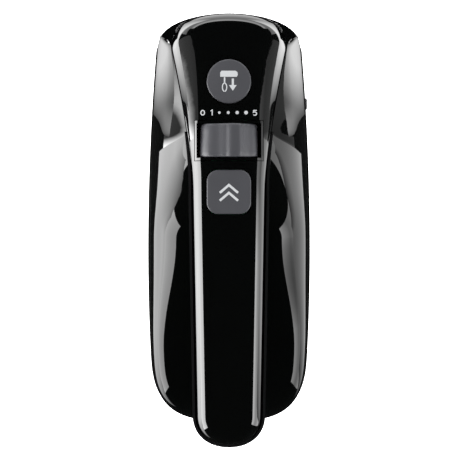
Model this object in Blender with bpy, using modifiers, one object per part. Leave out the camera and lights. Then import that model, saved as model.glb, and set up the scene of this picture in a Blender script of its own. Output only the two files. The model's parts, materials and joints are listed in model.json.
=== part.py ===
"""Electric hand mixer with its two beaters, modelled as the assembly it would come apart into.

Metres. +X is the user's right, +Y is forward (the nose), +Z is up. The beaters point down, and the
grip runs back from the nose and is open at the rear. Heights below count from the flat underside.
The finished model hangs on one empty, which puts the world's origin in the middle of the grip.
"""

import math

import bmesh
import bpy
from mathutils import Matrix, Vector

# ------------------------------------------------------------------ assembly
GAP = 0.0003  # between pieces that touch in the real mixer
RUNNING = 0.0002  # radial clearance of a turning or sliding fit
WALL = 0.0022  # moulded wall
SLIVER = 0.00001  # points this close along a trimmed seam are made one

# ------------------------------------------------------------------ body plan
HALF_WIDTH = 0.0408
WIDEST_Y = -0.010
NOSE_Y = 0.1055
NOSE_TAPER = 0.0055
NOSE_CAP = 0.0155  # length of the rounded nose
NOSE_POWER = 2.7
STERN_Y = -0.095
STERN_TAPER = 0.0035
STERN_CAP = 0.035  # length of the rounded stern
STERN_POWER = 3.2
LEDGE = 0.0009  # how far the lower housing stands proud of the shells
CORNER_Y = 0.0955  # where the nose meets the side shells at the rim

# ------------------------------------------------------------------ body heights
RIM_Z = 0.026  # top edge of the lower housing
BODY_TOP_Z = 0.066
BODY_CROWN = 0.002
STERN_ROLL = 3.0
STERN_ROLL_ROOT = 2.5

# ------------------------------------------------------------------ grip and top cover
TOP_Z = 0.128
TOP_ARCH = 0.004  # fall of the top line 0.1 m from the middle
COVER_DEPTH = 0.013
GRIP_DEPTH = 0.016  # lower half of the grip
TAIL_Y = -0.1005
TAIL_CAP = 0.0138
TAIL_POWER = 2.2
TAIL_HALF_WIDTH = 0.0150
GRIP_TAPER = 0.018  # half width gained for each metre forward
FLARE_Y = 0.020  # ahead of it the cover widens
FLARE = 0.0100
FLARE_POWER = 1.45
HOOK = 0.0039  # what the last few millimetres add before the corner
HOOK_POWER = 60
ROOF_NOSE_Y = 0.1010
TIP_Y = 0.0917  # where roof, nose and side shell meet
NOSE_ROLL = 0.010
NOSE_BEND_Y = 0.050  # ahead of it the cover's sections bend parallel to the nose
LIP = 0.0008  # how far the liner shows outside the cover
HAND_ARC_Y = 0.010  # centre of the round front end of the hand opening
HAND_ARC_R = 0.0145
SWEEP_START_Y = -0.004
JOIN_Y = 0.046  # where cover, liner and side shell meet

GRIP_Y = -0.040  # where the hand holds it

# ------------------------------------------------------------------ controls
EJECT_Y = 0.0685
EJECT_R = 0.0102
EJECT_TRAVEL = 0.006
EJECT_PROUD = 0.0016
TURBO_Y = 0.0175
TURBO_SIDE = 0.0203
TURBO_CORNER = 0.0052
TURBO_TRAVEL = 0.0022
TURBO_PROUD = 0.0014
BUTTON_GAP = 0.0004
DIAL_Y = 0.0413
DIAL_LENGTH = 0.0152
DIAL_R = 0.0135
DIAL_FRONT = 0.93  # how far the dial narrows towards the nose
DIAL_RIDGE = 0.0020
DIAL_HOLLOW = 0.0012
DIAL_SINK = 0.0075  # dial axis below the top line
DIAL_SET_DEG = 12.0  # where the ridge stands, right of the middle
BEZEL_HALF_X = 0.0158
BEZEL_HALF_Y = 0.0092
BEZEL_PROUD = 0.0003

# ------------------------------------------------------------------ drive
MOTOR_Z = 0.038
WORM_Y = EJECT_Y
SPINDLE_X = 0.020
MODULE = 0.0012
WORM_STARTS = 2
WHEEL_TEETH = 20
ADDENDUM = 0.0011
DEDENDUM = 0.0014
TIP_THICK = 0.0008
ROOT_THICK = 0.0020
WORM_LENGTH = 0.0140
WHEEL_WIDTH = 0.0080
SPINDLE_R = 0.0050
SPINDLE_BOTTOM_Z = -0.0035
SPINDLE_TOP_Z = 0.0600
SHANK_R = 0.0029
SHANK_TOP_Z = 0.0540
PUSH_ROD_TOP_Z = 0.0700
SHAFT_R = 0.0030
SHAFT_FRONT_Y = 0.0860
SHAFT_REAR_Y = -0.0460
CORE_R = 0.0140
CORE_Y0, CORE_Y1 = -0.006, 0.024
STATOR_HALF_X, STATOR_HALF_Z = 0.0250, 0.0205
AIR_GAP = 0.0005
FAN_Y = 0.0400
FAN_R = 0.0190
FAN_BLADES = 9
COMMUTATOR_R = 0.0085
COMMUTATOR_Y0, COMMUTATOR_Y1 = -0.0285, -0.0165

# ------------------------------------------------------------------ beaters
CAGE_TOP_Z = -0.038
CAGE_BOTTOM_Z = -0.100
CAGE_R = 0.0230
STRIP_WIDTH = 0.0056
STRIP_THICK = 0.0012
COLLAR_R = 0.0046


# ------------------------------------------------------------------ scene
def clear_scene():
    for old in list(bpy.data.objects):
        bpy.data.objects.remove(old, do_unlink=True)


def new_collection(name):
    made = bpy.data.collections.new(name)
    bpy.context.scene.collection.children.link(made)
    return made


clear_scene()
PARTS = new_collection("hand_mixer")
CUTTERS = new_collection("cutters")


def material(name, color, roughness, metallic=0.0):
    made = bpy.data.materials.new(name)
    made.use_nodes = True
    shader = made.node_tree.nodes["Principled BSDF"]
    shader.inputs["Base Color"].default_value = (*color, 1.0)
    shader.inputs["Roughness"].default_value = roughness
    shader.inputs["Metallic"].default_value = metallic
    return made


BLACK_GLOSS = material("black_gloss", (0.006, 0.006, 0.007), 0.06)
BLACK_SATIN = material("black_satin", (0.012, 0.012, 0.013), 0.35)
BUTTON_GREY = material("button_grey", (0.10, 0.10, 0.11), 0.42)
DARK_PLASTIC = material("dark_plastic", (0.03, 0.03, 0.032), 0.5)
WHITE_PLASTIC = material("white_plastic", (0.8, 0.8, 0.76), 0.45)
STEEL = material("steel", (0.62, 0.62, 0.63), 0.28, 1.0)
CHROME = material("chrome", (0.75, 0.75, 0.76), 0.12, 1.0)
COPPER = material("copper", (0.72, 0.36, 0.17), 0.35, 1.0)
BRONZE = material("bronze", (0.62, 0.44, 0.2), 0.4, 1.0)
CARBON = material("carbon", (0.02, 0.02, 0.02), 0.7)
BOARD_GREEN = material("board_green", (0.02, 0.16, 0.06), 0.5)
RUBBER = material("rubber", (0.015, 0.015, 0.015), 0.8)


# ------------------------------------------------------------------ builders
def add(name, mesh, finish=None, location=(0, 0, 0), rotation=(0, 0, 0)):
    made = bpy.data.objects.new(name, mesh)
    (PARTS if finish else CUTTERS).objects.link(made)
    made.location = location
    made.rotation_euler = rotation
    if finish:
        mesh.materials.append(finish)
    else:
        made.hide_render = True
        made.display_type = "WIRE"
    return made


def finish_mesh(mesh, edge_deg=35):
    mesh.shade_smooth()
    mesh.set_sharp_from_angle(angle=math.radians(edge_deg))


def mesh_of(bm):
    mesh = bpy.data.meshes.new("mesh")
    bmesh.ops.recalc_face_normals(bm, faces=bm.faces)
    bm.to_mesh(mesh)
    bm.free()
    finish_mesh(mesh)
    return mesh


def surface(rows, around=False, capped=False):
    """A mesh through rows of points. Rows close on themselves if around, and the ends are filled if capped."""
    bm = bmesh.new()
    grid = [[bm.verts.new(p) for p in row] for row in rows]
    last = len(rows[0]) - (0 if around else 1)
    for near, far in zip(grid, grid[1:]):
        for j in range(last):
            k = (j + 1) % len(near)
            bm.faces.new((near[j], near[k], far[k], far[j]))
    if capped:
        bm.faces.new(grid[0])
        bm.faces.new(grid[-1])
    bmesh.ops.remove_doubles(bm, verts=bm.verts, dist=1e-6)
    return bm


def shell(name, rows, finish, around=False, floor=False, thickness=WALL, outward=(0, 0, 1)):
    """A wall of even thickness behind an outer surface; outward is roughly where the first face looks."""
    bm = surface(rows, around)
    if floor:
        bm.faces.new([v for v in bm.verts if v.co.z < 1e-7])
    bmesh.ops.recalc_face_normals(bm, faces=bm.faces)
    bm.faces.ensure_lookup_table()
    middle = bm.faces[len(bm.faces) // 2]
    if middle.normal.dot(Vector(outward)) < 0:
        bmesh.ops.reverse_faces(bm, faces=bm.faces)
    mesh = bpy.data.meshes.new(name)
    bm.to_mesh(mesh)
    bm.free()
    finish_mesh(mesh)
    made = add(name, mesh, finish)
    solid = made.modifiers.new("wall", "SOLIDIFY")
    solid.thickness = thickness
    solid.offset = -1.0
    solid.use_even_offset = False
    return made


def shell_cutter(name, rows, outward):
    """Takes from a neighbour all that comes within the gap of this shell."""
    made = shell(name, rows, None, outward=outward)
    swell = made.modifiers.new("swell", "DISPLACE")
    swell.mid_level = 0.0
    swell.strength = GAP
    return made


def turned(name, profile, finish, steps=32, location=(0, 0, 0), rotation=(0, 0, 0), ring=False):
    """A profile of (radius, height) points, top to bottom down its outer side, turned round its own Z."""
    mesh = bpy.data.meshes.new(name)
    points = [(r, 0, z) for r, z in profile]
    edges = [(i, i + 1) for i in range(len(points) - 1)]
    if ring:
        edges.append((len(points) - 1, 0))
    mesh.from_pydata(points, edges, [])
    made = add(name, mesh, finish, location, rotation)
    screw = made.modifiers.new("turn", "SCREW")
    screw.steps = screw.render_steps = steps
    screw.use_merge_vertices = True
    screw.merge_threshold = 1e-5
    screw.use_smooth_shade = True
    return made


def rod(name, radius, z0, z1, finish, steps=20, **place):
    return turned(name, [(0, z1), (radius, z1), (radius, z0), (0, z0)], finish, steps, **place)


def tube(name, outer, inner, z0, z1, finish, steps=20, **place):
    ring = [(outer, z1), (outer, z0), (inner, z0), (inner, z1)]
    return turned(name, ring, finish, steps, ring=True, **place)


def block(name, low, high, finish, bevel=0.0):
    """A box between two corners, with its edges rounded."""
    bm = bmesh.new()
    bmesh.ops.create_cube(bm, size=1.0)
    size = Vector(high) - Vector(low)
    middle = (Vector(high) + Vector(low)) / 2
    bmesh.ops.scale(bm, vec=size, verts=bm.verts)
    made = add(name, mesh_of(bm), finish, middle)
    if bevel:
        rounded = made.modifiers.new("edges", "BEVEL")
        rounded.width = bevel
        rounded.segments = 2
    return made


def plate(name, outline, z0, z1, finish):
    """A flat outline of (x, y) points raised from z0 to z1."""
    rows = [[(x, y, z) for x, y in outline] for z in (z0, z1)]
    return add(name, mesh_of(surface(rows, around=True, capped=True)), finish)


def wire(name, points, radius, finish, sides=2):
    """A round wire through points, as one poly curve with its ends filled."""
    curve = bpy.data.curves.new(name, "CURVE")
    curve.dimensions = "3D"
    curve.bevel_depth = radius
    curve.bevel_resolution = sides
    curve.use_fill_caps = True
    line = curve.splines.new("POLY")
    line.points.add(len(points) - 1)
    for spot, p in zip(line.points, points):
        spot.co = (*p, 1)
    made = bpy.data.objects.new(name, curve)
    PARTS.objects.link(made)
    curve.materials.append(finish)
    return made


def boolean(target, cutter, operation="DIFFERENCE", solver="EXACT"):
    step = target.modifiers.new(cutter.name, "BOOLEAN")
    step.operation = operation
    step.object = cutter
    step.solver = solver
    return target


def cut(target, *cutters):
    for cutter in cutters:
        boolean(target, cutter)
    return target


def trim(target, cutter):
    """Cuts a wall by its neighbour's. EXACT loses both where the inner faces of a tight bend cross."""
    return boolean(target, cutter, solver="MANIFOLD")


def linked(start):
    """Every point that edges join to this one."""
    found = {start}
    edge = [start]
    while edge:
        fresh = {e.other_vert(v) for v in edge for e in v.link_edges} - found
        found |= fresh
        edge = list(fresh)
    return found


def bake_trimmed(target):
    """Bakes the modifiers, and clears the chips and slivers that a trim leaves along a seam."""
    bpy.context.view_layer.update()
    graph = bpy.context.evaluated_depsgraph_get()
    mesh = bpy.data.meshes.new_from_object(target.evaluated_get(graph))
    bm = bmesh.new()
    bm.from_mesh(mesh)
    left = set(bm.verts)
    groups = []
    while left:
        group = linked(next(iter(left)))
        groups.append(group)
        left -= group
    chips = [v for group in groups if group is not max(groups, key=len) for v in group]
    bmesh.ops.delete(bm, geom=chips, context="VERTS")
    bmesh.ops.remove_doubles(bm, verts=bm.verts, dist=SLIVER)
    bmesh.ops.dissolve_degenerate(bm, dist=SLIVER, edges=bm.edges)
    bm.to_mesh(mesh)
    bm.free()
    target.modifiers.clear()
    target.data = mesh


def join(target, *helpers):
    for helper in helpers:
        boolean(target, helper, "UNION")
    return target


def along_y(y, x=0.0, z=0.0):
    """Where a turned piece stands so that its own Z points along +Y from that place."""
    return {"location": (x, y, z), "rotation": (-math.pi / 2, 0, 0)}


def smooth(t):
    t = min(1.0, max(0.0, t))
    return t * t * (3 - 2 * t)


def mix(a, b, t):
    return a + (b - a) * t


# ------------------------------------------------------------------ outer form
def side_half_width(y):
    if y > WIDEST_Y:
        return HALF_WIDTH - NOSE_TAPER * ((y - WIDEST_Y) / (NOSE_Y - WIDEST_Y)) ** 2
    return HALF_WIDTH - STERN_TAPER * ((WIDEST_Y - y) / (WIDEST_Y - STERN_Y)) ** 2


def body_half_width(y):
    """Half width of the lower housing's rim."""
    half = side_half_width(y)
    nose = max(0.0, (y - NOSE_Y + NOSE_CAP) / NOSE_CAP)
    stern = max(0.0, (STERN_Y + STERN_CAP - y) / STERN_CAP)
    half *= math.sqrt(max(0.0, 1 - nose**NOSE_POWER))
    return half * max(0.0, 1 - stern**STERN_POWER) ** (1 / STERN_POWER)


def nose_y(x):
    """How far forward the nose reaches, x from its middle."""
    across = min(1.0, abs(x) / side_half_width(CORNER_Y))
    return NOSE_Y - NOSE_CAP * (1 - (1 - across**2) ** (1 / NOSE_POWER))


def top_z(y):
    return TOP_Z - TOP_ARCH * (y / 0.1) ** 2


def edge_z(y):
    """Height of the top cover's lower edge."""
    return top_z(y) - COVER_DEPTH


def cover_half_width(y):
    half = TAIL_HALF_WIDTH + GRIP_TAPER * (y - TAIL_Y - TAIL_CAP)
    ahead = max(0.0, (y - FLARE_Y) / (TIP_Y - FLARE_Y))
    return half + FLARE * ahead**FLARE_POWER + HOOK * ahead**HOOK_POWER


def lip(y):
    """The liner's margin outside the cover, which runs out where the side shell takes over."""
    return LIP * (1 - smooth((y - HAND_ARC_Y) / (JOIN_Y - HAND_ARC_Y)))


def stern_share(y):
    return min(1.0, max(0.0, (STERN_Y + STERN_CAP - y) / STERN_CAP))


def stern_fall(share):
    """What is left of the body's height, a share of the way round the stern."""
    return max(0.0, 1 - share**STERN_ROLL) ** (1 / STERN_ROLL_ROOT)


def seam_z(y):
    """Height of the side shell's upper edge."""
    low = RIM_Z + (BODY_TOP_Z - RIM_Z) * stern_fall(stern_share(y))
    return mix(low, edge_z(y), smooth((y - SWEEP_START_Y) / (JOIN_Y - SWEEP_START_Y)))


def seam_half_width(y):
    return cover_half_width(y) + lip(y)


def stern_end_y():
    """Where the side shell's rim reaches the liner's strip."""
    low, high = STERN_Y, STERN_Y + STERN_CAP
    for _ in range(40):
        middle = (low + high) / 2
        if body_half_width(middle) - LEDGE < seam_half_width(middle) + GAP:
            low = middle
        else:
            high = middle
    return high


STERN_END_Y = stern_end_y()
ACROSS = [math.sin(math.pi / 2 * j / 6) for j in range(-6, 7)]
SIDE_STEPS = 8
COVER_FLAT, GRIP_ROUND = 4.0, 2.6  # higher is flatter across


def crown(share, flatness):
    return math.sqrt(max(0.0, 1 - min(1.0, share) ** flatness))


def tail_rows(half_width, depth, flatness, upper):
    """Sections of the grip from its tip forward to where it is full width."""
    rows = []
    for turn in (90, 78, 66, 52, 36, 18):
        share = math.sin(math.radians(turn))
        y = TAIL_Y + TAIL_CAP * (1 - share)
        narrow = max(0.0, 1 - share**TAIL_POWER) ** (1 / TAIL_POWER)
        row = []
        for v in ACROSS:
            away = (abs(v * narrow) ** TAIL_POWER + share**TAIL_POWER) ** (1 / TAIL_POWER)
            rise = depth * crown(away, flatness) * (1 if upper else -1)
            row.append((v * narrow * half_width(y), y, edge_z(y) + rise - (0 if upper else GAP)))
        rows.append(row)
    return rows


def bow(v):
    """How far the nose has curved back, a share of the way across: 0 in the middle, 1 at a corner."""
    half = body_half_width(CORNER_Y) - LEDGE
    return (NOSE_Y - nose_y(v * half)) / (NOSE_Y - nose_y(half))


def cover_row(y, nose_share=0.0):
    bend = smooth((y - NOSE_BEND_Y) / (ROOF_NOSE_Y - NOSE_BEND_Y))
    back = y - bend * (ROOF_NOSE_Y - TIP_Y)
    half = cover_half_width(back)
    row = []
    for v in ACROSS:
        away = (abs(v) ** COVER_FLAT + nose_share**COVER_FLAT) ** (1 / COVER_FLAT)
        rise = (top_z(y) - edge_z(back)) * crown(away, COVER_FLAT)
        row.append((v * half, mix(y, back, bow(v)), edge_z(back) + rise))
    return row


def side_point(y, t):
    """A point of the section that meets the right shell's seam at y, from the rim (0) to the seam (1)."""
    rake = (CORNER_Y - TIP_Y) * smooth((y - JOIN_Y) / (TIP_Y - JOIN_Y))
    x0, z0 = body_half_width(y + rake) - LEDGE, RIM_Z + GAP
    x1, z1 = seam_half_width(y) + GAP, seam_z(y)
    steep = math.radians(mix(8, 66, smooth((y + 0.005) / 0.065)))
    reach = 0.6 * max(0.0, x0 - x1)
    bend_low = (x0, mix(z0, z1, 0.55))
    bend_high = (x1 + reach, z1 - min(reach * math.tan(steep), 0.42 * (z1 - z0)))
    a, b, c, d = (1 - t) ** 3, 3 * t * (1 - t) ** 2, 3 * t * t * (1 - t), t**3
    x = a * x0 + b * bend_low[0] + c * bend_high[0] + d * x1
    z = a * z0 + b * bend_low[1] + c * bend_high[1] + d * z1
    return x, y + rake * (z1 - z) / (z1 - z0), z


def nose_row(t):
    """A row of the nose wall, from the lower housing (0) up to the roof's edge (1)."""
    x, corner_y, z = side_point(TIP_Y, t)
    half = x - GAP
    front = mix(NOSE_Y - LEDGE, ROOF_NOSE_Y, (z - RIM_Z - GAP) / (seam_z(TIP_Y) - RIM_Z - GAP))
    return [(v * half, mix(front, corner_y, bow(v)), z) for v in ACROSS]


def cover_rows():
    rows = tail_rows(cover_half_width, COVER_DEPTH, COVER_FLAT, True)
    start = TAIL_Y + TAIL_CAP
    front = ROOF_NOSE_Y - NOSE_ROLL
    rows += [cover_row(mix(start, NOSE_BEND_Y, i / 9)) for i in range(10)]
    rows += [cover_row(mix(NOSE_BEND_Y, front, i / 6)) for i in range(1, 7)]
    for share in (0.35, 0.55, 0.72, 0.85, 0.94, 0.985, 1.0):
        rows.append(cover_row(front + NOSE_ROLL * share, share))
    rows += [nose_row(i / SIDE_STEPS) for i in range(SIDE_STEPS - 1, -1, -1)]
    return rows


def side_rows(side):
    turn = math.asin((STERN_Y + STERN_CAP - STERN_END_Y) / STERN_CAP)
    stern = [STERN_Y + STERN_CAP * (1 - math.sin(turn * i / 8)) for i in range(8, 0, -1)]
    middle = [mix(STERN_Y + STERN_CAP, SWEEP_START_Y, i / 4) for i in range(5)]
    sweep = [mix(SWEEP_START_Y, JOIN_Y, i / 6) for i in range(1, 7)]
    front = [mix(JOIN_Y, TIP_Y - GAP, share) for share in (0.2, 0.4, 0.6, 0.78, 0.9, 0.96, 0.985, 1.0)]
    rows = []
    for y in stern + middle + sweep + front:
        points = [side_point(y, i / SIDE_STEPS) for i in range(SIDE_STEPS + 1)]
        rows.append([(side * px, py, pz) for px, py, pz in points])
    return rows


def liner_row(middle, edge, half, flatness):
    """A section of the liner: middle and edge are (y, z), and half is where the edge stands in X."""
    row = []
    for v in ACROSS:
        share = 1 - crown(abs(v), flatness)
        row.append((v * half, mix(middle[0], edge[0], share), mix(middle[1], edge[1], share)))
    return row


def hand_arc_row(turn):
    """A section round the front of the hand opening, from under the grip (90) to the body's top (-90)."""
    angle = math.radians(turn)
    grip_z = edge_z(HAND_ARC_Y) - GAP - GRIP_DEPTH
    middle = (
        HAND_ARC_Y + HAND_ARC_R * math.cos(angle),
        grip_z - HAND_ARC_R + HAND_ARC_R * math.sin(angle),
    )
    if turn > 45:
        y = mix(JOIN_Y, HAND_ARC_Y, (turn - 45) / 45)
        edge = (y, edge_z(y) - GAP)
    else:
        y = mix(JOIN_Y, HAND_ARC_Y, (45 - turn) / 135)
        edge = (y, seam_z(y) - GAP)
    flatness = mix(2.0, GRIP_ROUND, smooth((turn + 90) / 180))
    return liner_row(middle, edge, seam_half_width(y), flatness)


def liner_rows():
    rows = tail_rows(seam_half_width, GRIP_DEPTH, GRIP_ROUND, False)
    for i in range(7):
        y = mix(TAIL_Y + TAIL_CAP, HAND_ARC_Y, i / 6)
        low = edge_z(y) - GAP - GRIP_DEPTH
        rows.append(liner_row((y, low), (y, edge_z(y) - GAP), seam_half_width(y), GRIP_ROUND))
    rows += [hand_arc_row(turn) for turn in range(68, -91, -22)]
    arc_low = edge_z(HAND_ARC_Y) - GAP - GRIP_DEPTH - 2 * HAND_ARC_R
    for i in range(6):
        y = mix(HAND_ARC_Y, STERN_Y + STERN_CAP, (i + 1) / 6)
        level = mix(arc_low, BODY_TOP_Z + BODY_CROWN, smooth((i + 1) / 6))
        rows.append(liner_row((y, level), (y, seam_z(y) - GAP), seam_half_width(y), 2.0))
    for turn in (20, 38, 52, 63, 71, 77, 82, 86, 90):
        share = math.sin(math.radians(turn))
        back = STERN_Y + STERN_CAP - STERN_CAP * share
        y = max(back, STERN_END_Y)
        fall = stern_fall(share)
        centre = (back + LEDGE * share, RIM_Z + GAP + (BODY_TOP_Z + BODY_CROWN - RIM_Z - GAP) * fall)
        edge = (y, RIM_Z + GAP + (BODY_TOP_Z - RIM_Z - 2 * GAP) * fall)
        rows.append(liner_row(centre, edge, seam_half_width(y), 2.0))
    return rows


def half_outline():
    """The rim's right half, from the middle of the nose back to the middle of the stern."""
    points = []
    for i in range(7):
        x = side_half_width(CORNER_Y) * math.sin(math.radians(78) * i / 7)
        points.append((x, nose_y(x)))
    points += [(side_half_width(y), y) for y in (NOSE_Y - NOSE_CAP, 0.070, 0.040, 0.010, -0.025)]
    for turn in (0, 22, 40, 55, 66, 75, 82):
        y = STERN_Y + STERN_CAP * (1 - math.sin(math.radians(turn)))
        points.append((body_half_width(y), y))
    x_end = points[-1][0]
    points += [(x_end * share, STERN_Y) for share in (0.6, 0.0)]
    return points


def full_outline():
    right = half_outline()
    return right + [(-x, y) for x, y in reversed(right[1:-1])]


# ------------------------------------------------------------------ casings
def cylinder_cutter(name, radius, low, high, x=0.0, y=0.0, steps=28):
    profile = [(0, high), (radius, high), (radius, low), (0, low)]
    return turned(name, profile, None, steps, location=(x, y, 0))


def rounded_square(side, corner, y, steps=5):
    """Outline of a rounded square centred on (0, y)."""
    inner = side / 2 - corner
    points = []
    for sx, sy, start in ((1, 1, 0), (-1, 1, 90), (-1, -1, 180), (1, -1, 270)):
        for i in range(steps):
            a = math.radians(start + 90 * i / (steps - 1))
            points.append((sx * inner + corner * math.cos(a), y + sy * inner + corner * math.sin(a)))
    return points


def top_cover():
    cover = shell("top_cover", cover_rows(), BLACK_GLOSS)
    roof = (TOP_Z - COVER_DEPTH, TOP_Z + 0.01)
    turbo_outline = rounded_square(TURBO_SIDE + 2 * BUTTON_GAP, TURBO_CORNER, TURBO_Y)
    cut(
        cover,
        cylinder_cutter("eject_hole", EJECT_R + BUTTON_GAP, *roof, y=EJECT_Y),
        plate("turbo_hole", turbo_outline, *roof, None),
        block(
            "dial_hole",
            (-BEZEL_HALF_X - GAP, DIAL_Y - BEZEL_HALF_Y - GAP, roof[0]),
            (BEZEL_HALF_X + GAP, DIAL_Y + BEZEL_HALF_Y + GAP, roof[1]),
            None,
        ),
    )


def dial_bezel():
    """Saddle that frames the dial and follows the cover's roof."""
    rows = []
    for y in (DIAL_Y - BEZEL_HALF_Y, DIAL_Y, DIAL_Y + BEZEL_HALF_Y):
        half = cover_half_width(y)
        row = []
        for i in range(-6, 7):
            x = BEZEL_HALF_X * i / 6
            rise = COVER_DEPTH * crown(abs(x) / half, COVER_FLAT)
            row.append((x, y, edge_z(y) + rise + BEZEL_PROUD))
        rows.append(row)
    frame = shell("dial_bezel", rows, BLACK_SATIN)
    opening = math.sqrt((DIAL_R + DIAL_RIDGE) ** 2 - (DIAL_SINK - WALL) ** 2) + BUTTON_GAP
    half_y = DIAL_LENGTH / 2 + BUTTON_GAP
    well = block(
        "bezel_hole",
        (-opening, DIAL_Y - half_y, TOP_Z - 0.02),
        (opening, DIAL_Y + half_y, TOP_Z + 0.02),
        None,
    )
    cut(frame, well)


def side_shells():
    for side, name in ((-1, "left_shell"), (1, "right_shell")):
        made = shell(name, side_rows(side), BLACK_GLOSS, outward=(side, 0, 0.3))
        trim(made, shell_cutter(f"nose_room_{name}", cover_rows(), (0, 0, 1)))
        bake_trimmed(made)


def grip_liner():
    liner = shell("grip_liner", liner_rows(), BLACK_SATIN, outward=(0, -1, -0.1))
    for side, name in ((-1, "left_room"), (1, "right_room")):
        trim(liner, shell_cutter(name, side_rows(side), (side, 0, 0.3)))
    trim(liner, shell_cutter("cover_room", cover_rows(), (0, 0, 1)))
    inlet = turned(
        "inlet_hole",
        [(0, 0.02), (GLAND_R + GAP, 0.02), (GLAND_R + GAP, -0.02), (0, -0.02)],
        None,
        24,
        **gland_place(),
    )
    trim(liner, inlet)
    bake_trimmed(liner)


HOUSING_RINGS = ((0.0, 1.0), (0.0003, 0.72), (0.0012, 0.42), (0.0034, 0.19), (0.0072, 0.05), (0.0120, 0.0))
SCREW_SPOTS = ((-0.027, 0.030), (0.027, 0.030), (-0.026, -0.062), (0.026, -0.062))
SCREW_HEAD_R = 0.0029
SCREW_SHANK_R = 0.0015
CHASSIS_Z = 0.0120
VENT_HALF_X = 0.012
VENT_YS = [-0.046 - 0.0055 * i for i in range(5)]


def lower_housing():
    outline = full_outline()
    mid_y = (NOSE_Y + STERN_Y) / 2
    rows = []
    for inset, height in HOUSING_RINGS:
        shrink_x = 1 - inset / HALF_WIDTH
        shrink_y = 1 - inset / (NOSE_Y - mid_y)
        rows.append([(x * shrink_x, mid_y + (y - mid_y) * shrink_y, RIM_Z * height) for x, y in outline])
    tub = shell("lower_housing", rows, BLACK_GLOSS, around=True, floor=True, outward=(0, 0, -1))
    for i, side in enumerate((-1, 1)):
        socket = SPINDLE_R + SOCKET_WALL + 2 * GAP
        cut(tub, cylinder_cutter(f"socket_hole_{i}", socket, -0.01, 0.01, side * SPINDLE_X, WORM_Y))
    for i, y in enumerate(VENT_YS):
        cut(tub, block(f"vent_{i}", (-VENT_HALF_X, y, -0.01), (VENT_HALF_X, y + 0.0024, 0.01), None))
    for i, (x, y) in enumerate(SCREW_SPOTS):
        cut(tub, cylinder_cutter(f"screw_hole_{i}", SCREW_HEAD_R + GAP, -0.01, 0.01, x, y, 16))


def housing_screws():
    """Four pan-head screws that hold the lower housing to the chassis through flanged sleeves."""
    head = -0.0002
    for i, (x, y) in enumerate(SCREW_SPOTS):
        profile = [
            (0, CHASSIS_Z + 0.006),
            (SCREW_SHANK_R, CHASSIS_Z + 0.005),
            (SCREW_SHANK_R, head + 0.0026),
            (SCREW_HEAD_R, head + 0.0018),
            (SCREW_HEAD_R, head + 0.0004),
            (SCREW_HEAD_R - 0.0004, head),
            (0, head),
        ]
        screw = turned(f"housing_screw_{i + 1}", profile, STEEL, 12, location=(x, y, 0))
        slot = (0.0022, 0.0004)
        for j, (sx, sy) in enumerate((slot, slot[::-1])):
            low = (x - sx, y - sy, head - 0.001)
            cut(screw, block(f"screw_slot_{i}_{j}", low, (x + sx, y + sy, head + 0.0009), None))


# ------------------------------------------------------------------ frame, sockets and cord inlet
SOCKET_WALL = 0.0016
SOCKET_FLANGE = 0.0014
SOCKET_TOP_Z = 0.0070
SOCKET_PROUD = 0.0024
GLAND_R = 0.0056
GLAND_BORE_R = 0.0034
GLAND_Z = 0.046


def beater_sockets():
    """Collars that line the two holes under the nose, each held by a flange inside the wall."""
    inner = SPINDLE_R + RUNNING
    outer = SPINDLE_R + SOCKET_WALL
    flange_z = WALL + 2 * GAP
    for side, name in ((-1, "left_socket_collar"), (1, "right_socket_collar")):
        profile = [
            (outer, SOCKET_TOP_Z),
            (outer, flange_z + SOCKET_FLANGE),
            (outer + SOCKET_FLANGE, flange_z + SOCKET_FLANGE),
            (outer + SOCKET_FLANGE, flange_z),
            (outer, flange_z),
            (outer, -SOCKET_PROUD),
            (inner, -SOCKET_PROUD),
            (inner, SOCKET_TOP_Z),
        ]
        turned(name, profile, DARK_PLASTIC, 20, location=(side * SPINDLE_X, WORM_Y, 0), ring=True)


def chassis():
    """Plate that carries the gearbox and the motor, held by the four housing screws."""
    half, front, rear = 0.0315, 0.088, -0.070
    outline = [(-half + 0.004, front), (half - 0.004, front), (half, 0.060), (half, rear + 0.010)]
    outline += [(half - 0.008, rear), (-half + 0.008, rear), (-half, rear + 0.010), (-half, 0.060)]
    base = plate("chassis_plate", outline, CHASSIS_Z, CHASSIS_Z + 0.0025, DARK_PLASTIC)
    rib_top = MOTOR_Z - STATOR_HALF_Z - GAP
    for i, y in enumerate((CORE_Y0 + 0.004, CORE_Y1 - 0.008)):
        low = (-0.020, y, CHASSIS_Z + 0.001)
        join(base, block(f"stator_rib_{i}", low, (0.020, y + 0.004, rib_top), None))
    for i, side in enumerate((-1, 1)):
        hole = SPINDLE_R + 0.0012
        cut(base, cylinder_cutter(f"chassis_hole_{i}", hole, 0.0, 0.03, side * SPINDLE_X, WORM_Y))
    for i, (x, y) in enumerate(SCREW_SPOTS):
        cut(base, cylinder_cutter(f"chassis_screw_{i}", SCREW_SHANK_R + GAP, 0.0, 0.03, x, y, 16))


def stern_wall_y(z):
    """Where the liner's outer face stands in the middle of the stern, at a height."""
    fall = (z - RIM_Z - GAP) / (BODY_TOP_Z + BODY_CROWN - RIM_Z - GAP)
    share = (1 - fall**STERN_ROLL_ROOT) ** (1 / STERN_ROLL)
    return STERN_Y + STERN_CAP - (STERN_CAP - LEDGE) * share


def gland_place():
    """The gland's own Z runs inwards, square to the wall."""
    rise = 2 * GLAND_R
    lean = math.atan2(stern_wall_y(GLAND_Z + GLAND_R) - stern_wall_y(GLAND_Z - GLAND_R), rise)
    return {"location": (0, stern_wall_y(GLAND_Z), GLAND_Z), "rotation": (-math.pi / 2 - lean, 0, 0)}


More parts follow.
